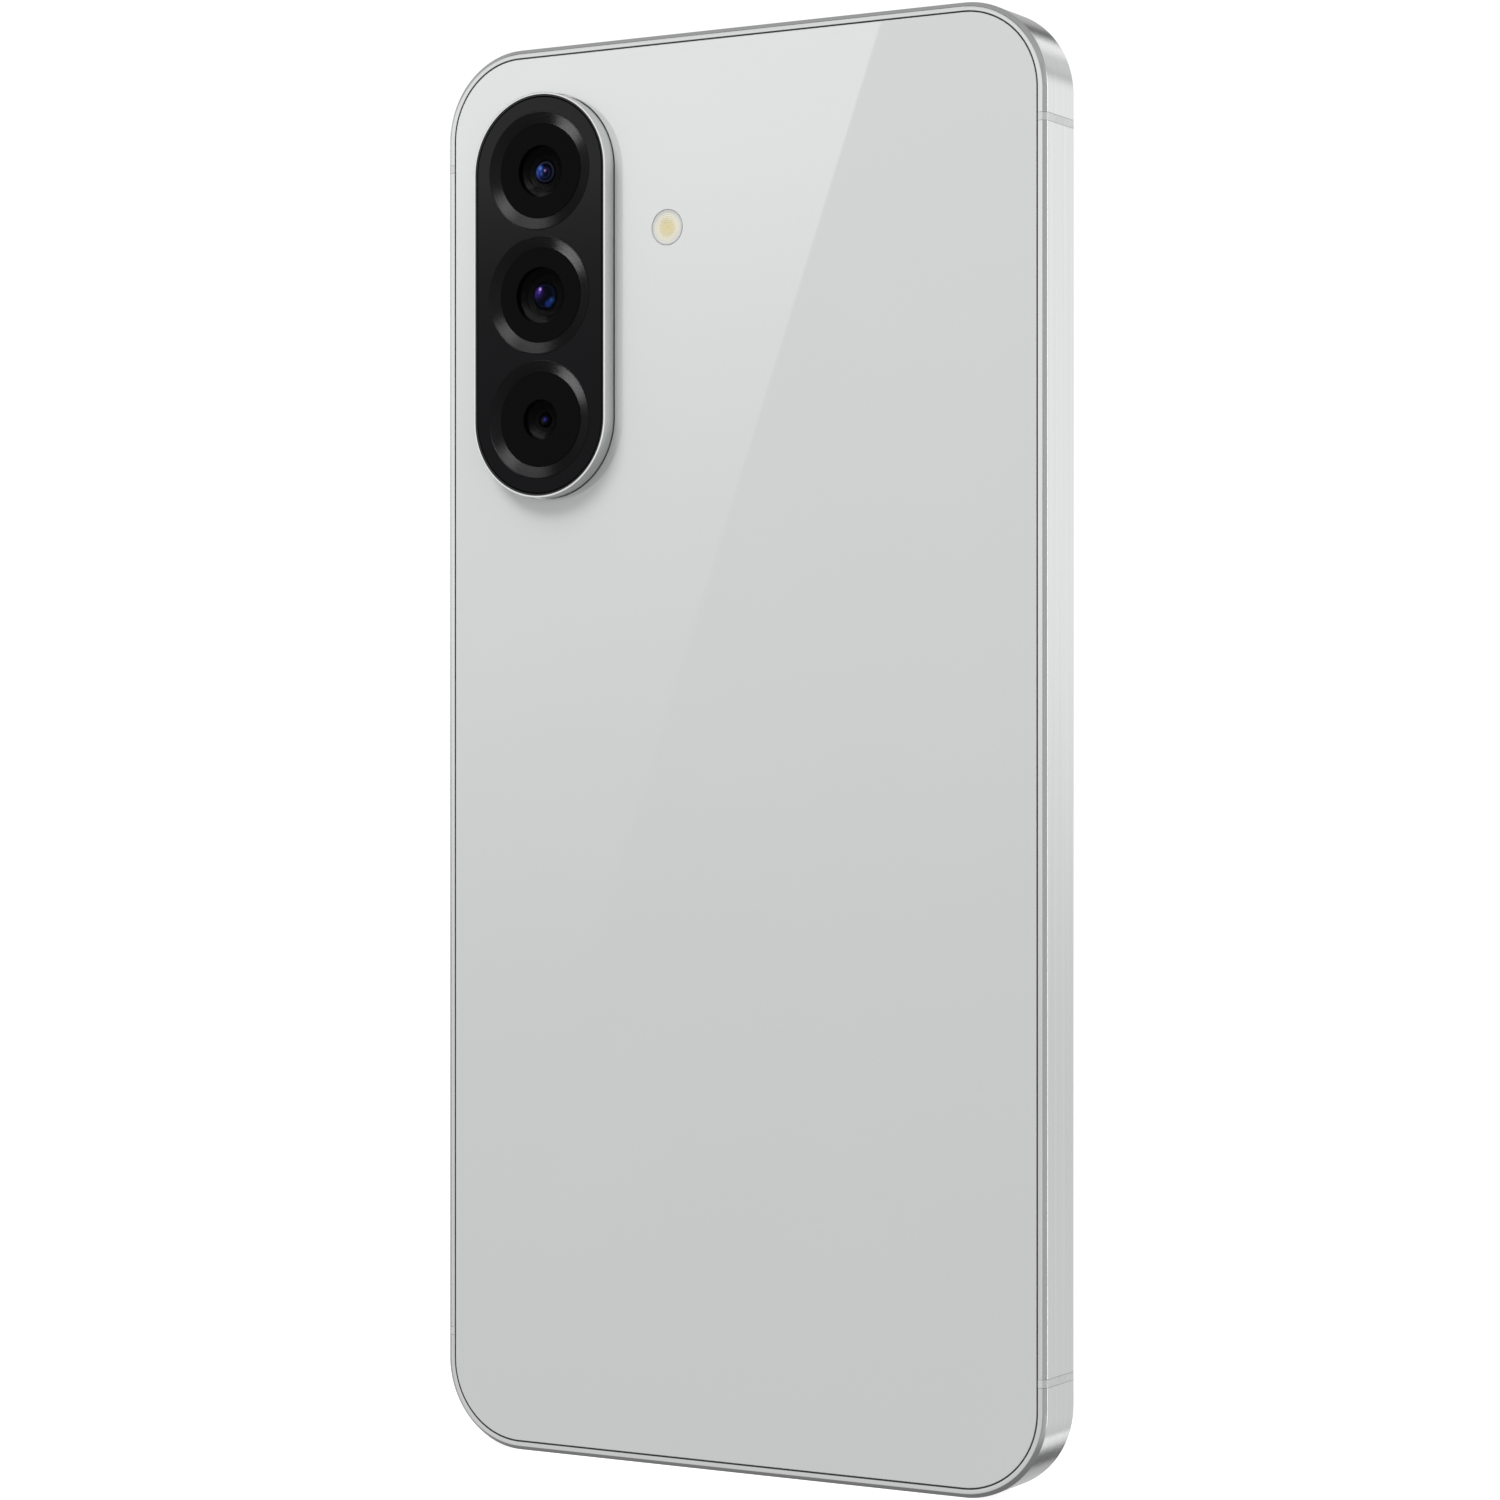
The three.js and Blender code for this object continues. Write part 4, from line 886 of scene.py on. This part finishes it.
def lens_shroud(name):
    """The black ring that closes the space between a barrel and its lens ring."""
    inner, outer = half_size(f"lens_barrel_{name}").x + 0.06, RING_SEAT - 0.04
    foot, top = -4.22, -4.5
    profile = [(inner, foot), (inner, top + 0.08), (inner + 0.08, top), (outer, top), (outer, foot)]
    return turned_at("shroud", name, filleted(profile, [0, 0.03, 0.03, 0.05, 0], 2), 64)


def flash_lens():
    """A disc with the fine rings of a Fresnel lens."""
    low, high = local_box("flash_lens")
    edge = FLASH_RADIUS
    profile = [(0, low.y + 0.02)]
    for ring in range(6):
        radius = edge * (0.28 + 0.11 * ring)
        profile += [(radius, low.y + 0.05), (radius + 0.04, low.y + 0.02)]
    profile += [(edge - 0.04, low.y + 0.005), (edge, low.y + 0.05), (edge, high.y), (0, high.y)]
    return turned("flash_window", profile, FLASH.x, FLASH.z, 64)


glass_panel = finish_piece(rear_glass(), "rear_glass")
finish_piece(deck_rim(), "camera_deck_rim")
deck_panel = finish_piece(deck_plate(), "camera_deck_glass")
finish_piece(flash_lens(), "flash_lens", sharp=20.0)
RIM_GAP = RIM_RADIUS - half_size("camera_deck_glass").x
gap_bead("deck_bead", deck_path(), RIM_EDGE + 0.005, RIM_GAP - 0.005, DECK_TOP + 0.08, -4.8)

lens_rings, lens_barrels = [], []
for camera, cones in BARREL_CONES.items():
    moves = "focus_barrel" if camera == "main" else "chassis"
    lens_rings.append(finish_piece(lens_ring(camera), f"lens_ring_{camera}", sharp=25.0))
    finish_piece(lens_cover(camera), f"lens_cover_{camera}")
    barrel = lens_barrel(camera, *cones)
    finish_piece(barrel, f"lens_barrel_{camera}", body=moves, material=LENS_BARREL, sharp=25.0)
    lens_barrels.append(barrel)
    finish_piece(cover_border(camera, cones[0]), slot="black_plastic", material=LENS_BARREL)
    finish_piece(lens_shroud(camera), slot="black_plastic", material=LENS_BARREL, sharp=25.0)
    finish_piece(lens_element(camera), f"lens_element_{camera}", body=moves, material=COATINGS_AND_PAINTED_GLINTS[camera])

# ------------ front

ACTIVE_WIDTH, ACTIVE_HEIGHT, ACTIVE_SHIFT, ACTIVE_CORNER = 71.3, 154.5, 0.65, 7.2
FRONT_LENS = middle_of("front_camera_lens")
FRONT_SPOT = 1.75


def active_plate(name, layers):
    """A plate with the outline of the lit area."""
    return plate(name, ACTIVE_WIDTH / 2, ACTIVE_HEIGHT / 2, ACTIVE_CORNER, layers, 0, ACTIVE_SHIFT)


def front_glass():
    """The printed black border of the cover glass, with its softly rounded edge."""
    front = HALF_DEPTH
    edge = 0.22
    layers = [(0, front - GLASS_THICK), (0, front - edge), (edge * 0.3, front - edge * 0.3), (edge, front)]
    half_x, half_z = HALF_WIDTH - GLASS_INSET, HALF_HEIGHT - GLASS_INSET
    border = plate("front_border", half_x, half_z, CORNER - GLASS_INSET, layers)
    return cut(border, active_plate("cutter", [(0, 1), (0, 5)]))


def front_window():
    """The glass over the lit area, with the clear spot for the front camera."""
    window = active_plate("front_window", [(0, HALF_DEPTH - GLASS_THICK), (0, HALF_DEPTH)])
    return cut(window, disc_cutter(FRONT_SPOT, FRONT_LENS, [(0, 1), (0, 5)]))


def display_panel():
    low, high = local_box("display_panel")
    half = half_size("display_panel")
    panel = plate("display", half.x, half.z, CORNER - WALL - 0.15, [(0, low.y), (0, high.y)])
    return cut(panel, disc_cutter(FRONT_SPOT + 0.2, FRONT_LENS, [(0, 0), (0, 9)], 16))


def front_camera():
    """The housing with its barrel, whose flat face shows as a ring round the lens."""
    low, high = local_box("front_camera_housing")
    housing = bar("selfie_housing", (low.x, high.x), (low.y, 1.3), (low.z, high.z), 0.3)
    outside = [(1.72, 1.0), (1.72, high.y - 0.1), (1.62, high.y)]
    inside = [(1.3, high.y), (1.2, high.y - 0.12), (1.2, 1.0)]
    barrel = turned("cutter", outside + inside, FRONT_LENS.x, FRONT_LENS.z, 48)
    return weld(housing, barrel)


def front_lens():
    low, high = local_box("front_camera_lens")
    profile = dome_profile(half_size("front_camera_lens").x, low.y, low.y + 0.08, high.y, 8)
    return turned("selfie_lens", profile, FRONT_LENS.x, FRONT_LENS.z, 48)


def earpiece_mesh():
    """A strip with a row of fine cross slots."""
    low, high = local_box("earpiece_mesh")
    strip = bar("earpiece_strip", (low.x, high.x), (low.y, high.y), (low.z, high.z))
    tools = []
    count = 22
    for slot in range(count):
        x = low.x + (high.x - low.x) * (slot + 0.75) / (count + 0.5)
        tools.append(bar("cutter", (x - 0.12, x + 0.12), (high.y - 0.07, 5), (low.z + 0.05, high.z - 0.05)))
    return cut(strip, *tools)


front_panels = [
    finish_piece(front_glass(), "front_glass", material=BEZEL),
    finish_piece(front_window(), "front_glass", material=FRONT_GLASS),
]
gap_bead("rear_bead", body_outline(), 0.985, GLASS_INSET + 0.025, -HALF_DEPTH + 0.05, -HALF_DEPTH + 0.6)
gap_bead("front_bead", body_outline(), 0.985, GLASS_INSET - 0.005, HALF_DEPTH - 0.1, HALF_DEPTH - 0.6)
finish_piece(display_panel(), "display_panel")
finish_piece(front_camera(), "front_camera_housing", material=LENS_BARREL)
# The front lens wears the macro lens's colours, painted glints included.
finish_piece(front_lens(), "front_camera_lens", material=COATINGS_AND_PAINTED_GLINTS["macro"])
finish_piece(earpiece_mesh(), "earpiece_mesh")

# ------------ keys, tray and socket


def side_key(name):
    """A cap with softly rounded edges and the flange that keeps it in the frame."""
    half_y, half_z, z, face = key_size(name)
    seat = -HALF_WIDTH + 1.5
    soft = 0.28
    layers = []
    for step in range(6):
        angle = math.pi / 2 * step / 5
        layers.append((soft * (1 - math.sin(angle)), face + soft * (1 - math.cos(angle))))
    layers.append((0, seat + 0.1))
    cap = side_plate(name + "_cap", half_y, half_z, layers, z, 16)
    flange = side_plate("flange", half_y + 0.35, half_z + 0.45, [(0, seat), (0, seat + 0.45)], z, 16)
    return weld(cap, flange)


def tray():
    """The bezel with its pinhole, and the carrier with its card pockets."""
    x, y, top = TRAY_MIDDLE.x, TRAY_MIDDLE.y, TRAY_HIGH.z
    shoulder = top - BEZEL_HEIGHT
    layers = [(0, shoulder), (0, top - 0.08), (0.025, top - 0.025), (0.08, top)]
    bezel = edge_plate("card_tray", TRAY_HALF.x, TRAY_HALF.y, layers, x, y, 12)
    carrier = bar("carrier", (x - 6.9, x + 6.9), (y - 0.65, y + 0.65), (TRAY_LOW.z, shoulder + 0.3), 0.12)
    weld(bezel, carrier)
    pocket_top = shoulder - 5
    pocket_z = (pocket_top - 12.6, pocket_top)
    rear_pocket = bar("cutter", (x - 4.6, x + 4.6), (y - 2, y - 0.02), pocket_z)
    front_pocket = bar("cutter", (x - 5.6, x + 5.6), (y + 0.2, y + 2), pocket_z)
    pinhole = flared_hole(x + 7.45, y, 0.4, top, 1, 3.0, 0.05)
    return cut(bezel, rear_pocket, front_pocket, pinhole)


def socket_shell():
    """A drawn steel shell, a stadium tube with a rolled lip."""
    low, high = local_box("usb_shell")
    wall, soft = 0.3, 0.06
    outer_layers = [(soft, low.z), (0, low.z + soft), (0, high.z)]
    outer = edge_plate("socket_shell", USB_HALF.x, USB_HALF.y, outer_layers, steps=16)
    inner_layers = [(-0.1, low.z - 0.5), (-0.08, low.z), (0, low.z + 0.08), (0, high.z + 1)]
    return cut(outer, edge_plate("cutter", USB_HALF.x - wall, USB_HALF.y - wall, inner_layers, steps=16))


def socket_tongue():
    low, high = local_box("usb_tongue")
    half = half_size("usb_tongue")
    block = edge_plate("socket_tongue", half.x, half.y, [(0, high.z - 0.9), (0, high.z)], steps=16)
    blade = bar("blade", (-3.345, 3.345), (-0.35, 0.35), (low.z, high.z - 0.5), 0.1)
    step = bar("step", (-3.6, 3.6), (-0.55, 0.55), (high.z - 2.0, high.z - 0.5), 0.1)
    return weld(block, blade, step)


def socket_contacts():
    """Twelve gold fingers on each face of the tongue, as one mesh."""
    low, high = local_box("usb_tongue")
    verts, faces = [], []
    for depths in ((-0.372, -0.352), (0.352, 0.372)):
        for pin in range(12):
            x = (pin - 5.5) * 0.5
            faces += [tuple(len(verts) + i for i in face) for face in BOX_FACES]
            heights = (low.z + 0.35, high.z - 2.1)
            verts += [(px, py, pz) for px in (x - 0.13, x + 0.13) for py in depths for pz in heights]
    return make_piece("socket_contacts", verts, faces)


for key in KEY_NAMES:
    finish_piece(side_key(key), key, body=key)
finish_piece(tray(), "sim_tray", body="sim_tray")
finish_piece(socket_shell(), "usb_shell")
finish_piece(socket_tongue(), "usb_tongue")
finish_piece(socket_contacts(), slot="copper", material=GOLD)

# ------------ inner CAD nodes

for name, node in frame["nodes"].items():
    node.data.materials.clear()
    node.data.materials.append(SLOT_MATERIALS[NODE_SLOTS[name]])

# ------------ stage, lights and camera


def aim(made, place, target, axis):
    """Puts an object at a place with one of its axes towards a target."""
    made.location = place
    made.rotation_mode = "QUATERNION"
    made.rotation_quaternion = (Vector(target) - Vector(place)).to_track_quat(axis, "Y")


def card(name, corners, material):
    """A flat sheet on the stage."""
    mesh = bpy.data.meshes.new(name)
    mesh.from_pydata(corners, [], [(0, 1, 2, 3)])
    mesh.materials.append(material)
    made = add_object(name, mesh)
    return made


def hide_from(made, *rays):
    for ray in rays:
        setattr(made, f"visible_{ray}", False)


def level_card(name, width, depth, material):
    x, y = width / 2, depth / 2
    return card(name, [(-x, -y, 0), (x, -y, 0), (x, y, 0), (-x, y, 0)], material)


def bare_material(name):
    made = NodeTree(bpy.data.materials.new(name))
    made.nodes.clear()
    return made


def glow(name, strength):
    made = bare_material(name)
    return made.surface(made.emit(strength))


def only_in_reflections(sheet, receivers=()):
    """Hidden from the camera, and where receivers are named seen by those pieces only."""
    if receivers:
        targets = bpy.data.collections.new(f"{sheet.name}_targets")
        for piece in receivers:
            targets.objects.link(piece)
        sheet.light_linking.receiver_collection = targets
    hide_from(sheet, "camera", "diffuse", "shadow", "transmission")


def floor():
    """A pale table that shines a little, so that it stays white right out to the horizon."""
    white = {"Emission_Color": (1, 1, 1, 1), "Emission_Strength": 0.8}
    made = Finish("floor_white", (0.7, 0.7, 0.7), 0.9, **white)
    made.vary_colour(made.noise(4.0, 2.0), 0.99, 1.01)
    ground = level_card("floor", 12.0, 12.0, made.owner)
    hide_from(ground, "glossy", "diffuse")


def backdrop():
    """A white dome that only the camera sees."""
    build = bmesh.new()
    bmesh.ops.create_icosphere(build, subdivisions=4, radius=5.0)
    mesh = bpy.data.meshes.new("backdrop")
    build.to_mesh(mesh)
    build.free()
    mesh.materials.append(glow("backdrop_white", 1.05))
    dome = add_object("backdrop", mesh)
    hide_from(dome, "diffuse", "glossy", "transmission", "shadow")


def area_light(name, place, target, size, power):
    data = bpy.data.lights.new(name, "AREA")
    data.shape = "RECTANGLE"
    data.size, data.size_y = size
    data.energy = power
    light = add_object(name, data)
    aim(light, place, target, "-Z")
    hide_from(light, "glossy")


def world():
    """A white room: bright walls up to a little above the horizon, a darker ceiling and a greyer table."""
    made = NodeTree(bpy.data.worlds.new("studio"))
    low_levels = [(-1, 0.2), (-0.7, 0.24), (-0.24, 0.72), (-0.08, 0.71)]
    levels = low_levels + [(0.05, 0.95), (0.2, 0.95), (0.35, 0.48), (1, 0.4)]
    stops = [((z + 1) / 2, (level, level, level)) for z, level in levels]
    made.put(made.ramp(made.height("Generated", -1.0, 1.0), stops), made.nodes["Background"].inputs["Color"])
    bpy.context.scene.world = made.owner


def camera():
    """A long lens: level, at half the phone's height, 30 degrees round to the right."""
    data = bpy.data.cameras.new("camera")
    data.sensor_width = 36.0
    data.lens = 92.31
    data.clip_start = 0.01
    made = add_object("camera", data)
    made.location = CENTRE + Vector((217.5, -376.1, 0.0)) * MM
    made.rotation_euler = (math.radians(90), 0, math.radians(30.04))
    bpy.context.scene.camera = made


floor()
backdrop()
world()
camera()
area_light("key", (-0.22, -0.55, 0.78), (0.4, -0.15, 0.22), (0.45, 0.35), 5.6)
area_light("overhead", (0.0, 0.1, 1.3), (0, 0, 0), (1.6, 1.6), 6.0)


def reflector(name, origin, direction, distance, size, strength, receivers=()):
    """A card that is only seen in reflections, at a distance from a point along a direction."""
    start = CENTRE + Vector(origin) * MM
    sheet = level_card(name, *size, glow(name, strength))
    aim(sheet, start + Vector(direction).normalized() * distance, start, "Z")
    only_in_reflections(sheet, receivers)


LENS_METAL = lens_rings + lens_barrels
TOP_CORNER = (HALF_WIDTH, 0, HALF_HEIGHT - 3)
DECK_MIDDLE = (DECK.x, DECK_TOP, DECK.z)
BOTTOM_CORNER = (HALF_WIDTH, 0, 3 - HALF_HEIGHT)
reflector("corner_strip", TOP_CORNER, (0.07, 0.886, 0.455), 1.0, (0.14, 0.16), 1.2)
reflector("corner_fade", TOP_CORNER, (0.24, 0.886, 0.4), 1.0, (0.2, 0.2), 0.75)
reflector("corner_flag", TOP_CORNER, (-0.12, 0.886, 0.44), 1.0, (0.13, 0.2), 0.12)
reflector("low_corner_strip", BOTTOM_CORNER, (0.27, 0.85, -0.44), 1.0, (0.16, 0.16), 1.15)
reflector("low_corner_flag", BOTTOM_CORNER, (0.06, 0.85, -0.52), 1.0, (0.24, 0.2), 0.1)
reflector("ring_strip_right", DECK_MIDDLE, (-0.81, -0.565, -0.175), 2.5, (0.55, 0.8), 28.0, lens_rings)
reflector("ring_strip_left", DECK_MIDDLE, (-0.18, -0.87, 0.46), 2.5, (0.8, 0.7), 17.0, LENS_METAL)
reflector("ring_strip_low", DECK_MIDDLE, (-0.48, -0.68, 0.55), 2.5, (0.9, 0.7), 9.0, LENS_METAL)
reflector("left_flag", (-HALF_WIDTH, 0, 0), (-1.0, 0, 0), 1.2, (1.1, 1.4), 0.33)
reflector("back_flag", (HALF_WIDTH, HALF_DEPTH, 0), (-0.15, 0.99, 0), 1.0, (0.6, 0.44), 0.5)
reflector("edge_strip", (HALF_WIDTH, 0, 0), (0.9, 0.42, 0), 0.8, (0.3, 0.8), 3.0)
reflector("side_flag", (HALF_WIDTH, 0, 0), (1.0, -0.1, 0), 1.2, (0.8, 1.4), 0.62)
reflector("grey_flag", (HALF_WIDTH, -HALF_DEPTH, 0), (0.75, -0.66, 0), 0.9, (0.5, 1.2), 0.4)


def sheen_glow(name, low, high, peak):
    """Adds light to what is behind the card: most of it at the card's top, none at its bottom."""
    made = bare_material(name)
    levels = ((0.0, 0), (0.25, 0.12), (0.4, 0.25), (0.545, 0.6), (0.66, 1))
    stops = [(position, (level, level, level)) for position, level in levels]
    strength = made.product(made.ramp(made.height("Object", low * MM, high * MM), stops, "LINEAR"), peak)
    add = made.node("ShaderNodeAddShader")
    made.put(made.emit(strength), add.inputs[0])
    made.put(made.node("ShaderNodeBsdfTransparent").outputs["BSDF"], add.inputs[1])
    return made.surface(add.outputs["Shader"])


def sheen_card(name, y, slant, far_x, low, high, peak, receivers):
    """A tall window whose edge, from x slant[0] at its foot to slant[1] at its head, crosses a glass."""
    corners = [(slant[0], y, low), (slant[1], y, high), (far_x, y, high), (far_x, y, low)]
    corners = [tuple(c * MM for c in corner) for corner in corners]
    only_in_reflections(card(name, corners, sheen_glow(name, low, high, peak)), receivers)


sheen_card("rear_sheen", -600.0, (-412.9, -259.4), -480.0, -23.0, 400.0, 1.2, [glass_panel])
sheen_card("deck_sheen", -580.0, (-600.0, -600.0), -200.0, 177.0, 287.0, 1.65, [deck_panel])
sheen_card("front_sheen", 600.0, (900.0, 250.0), 1600.0, -600.0, 500.0, 2.0, front_panels)

scene = bpy.context.scene
scene.view_settings.view_transform = "Standard"
scene.view_settings.look = "None"
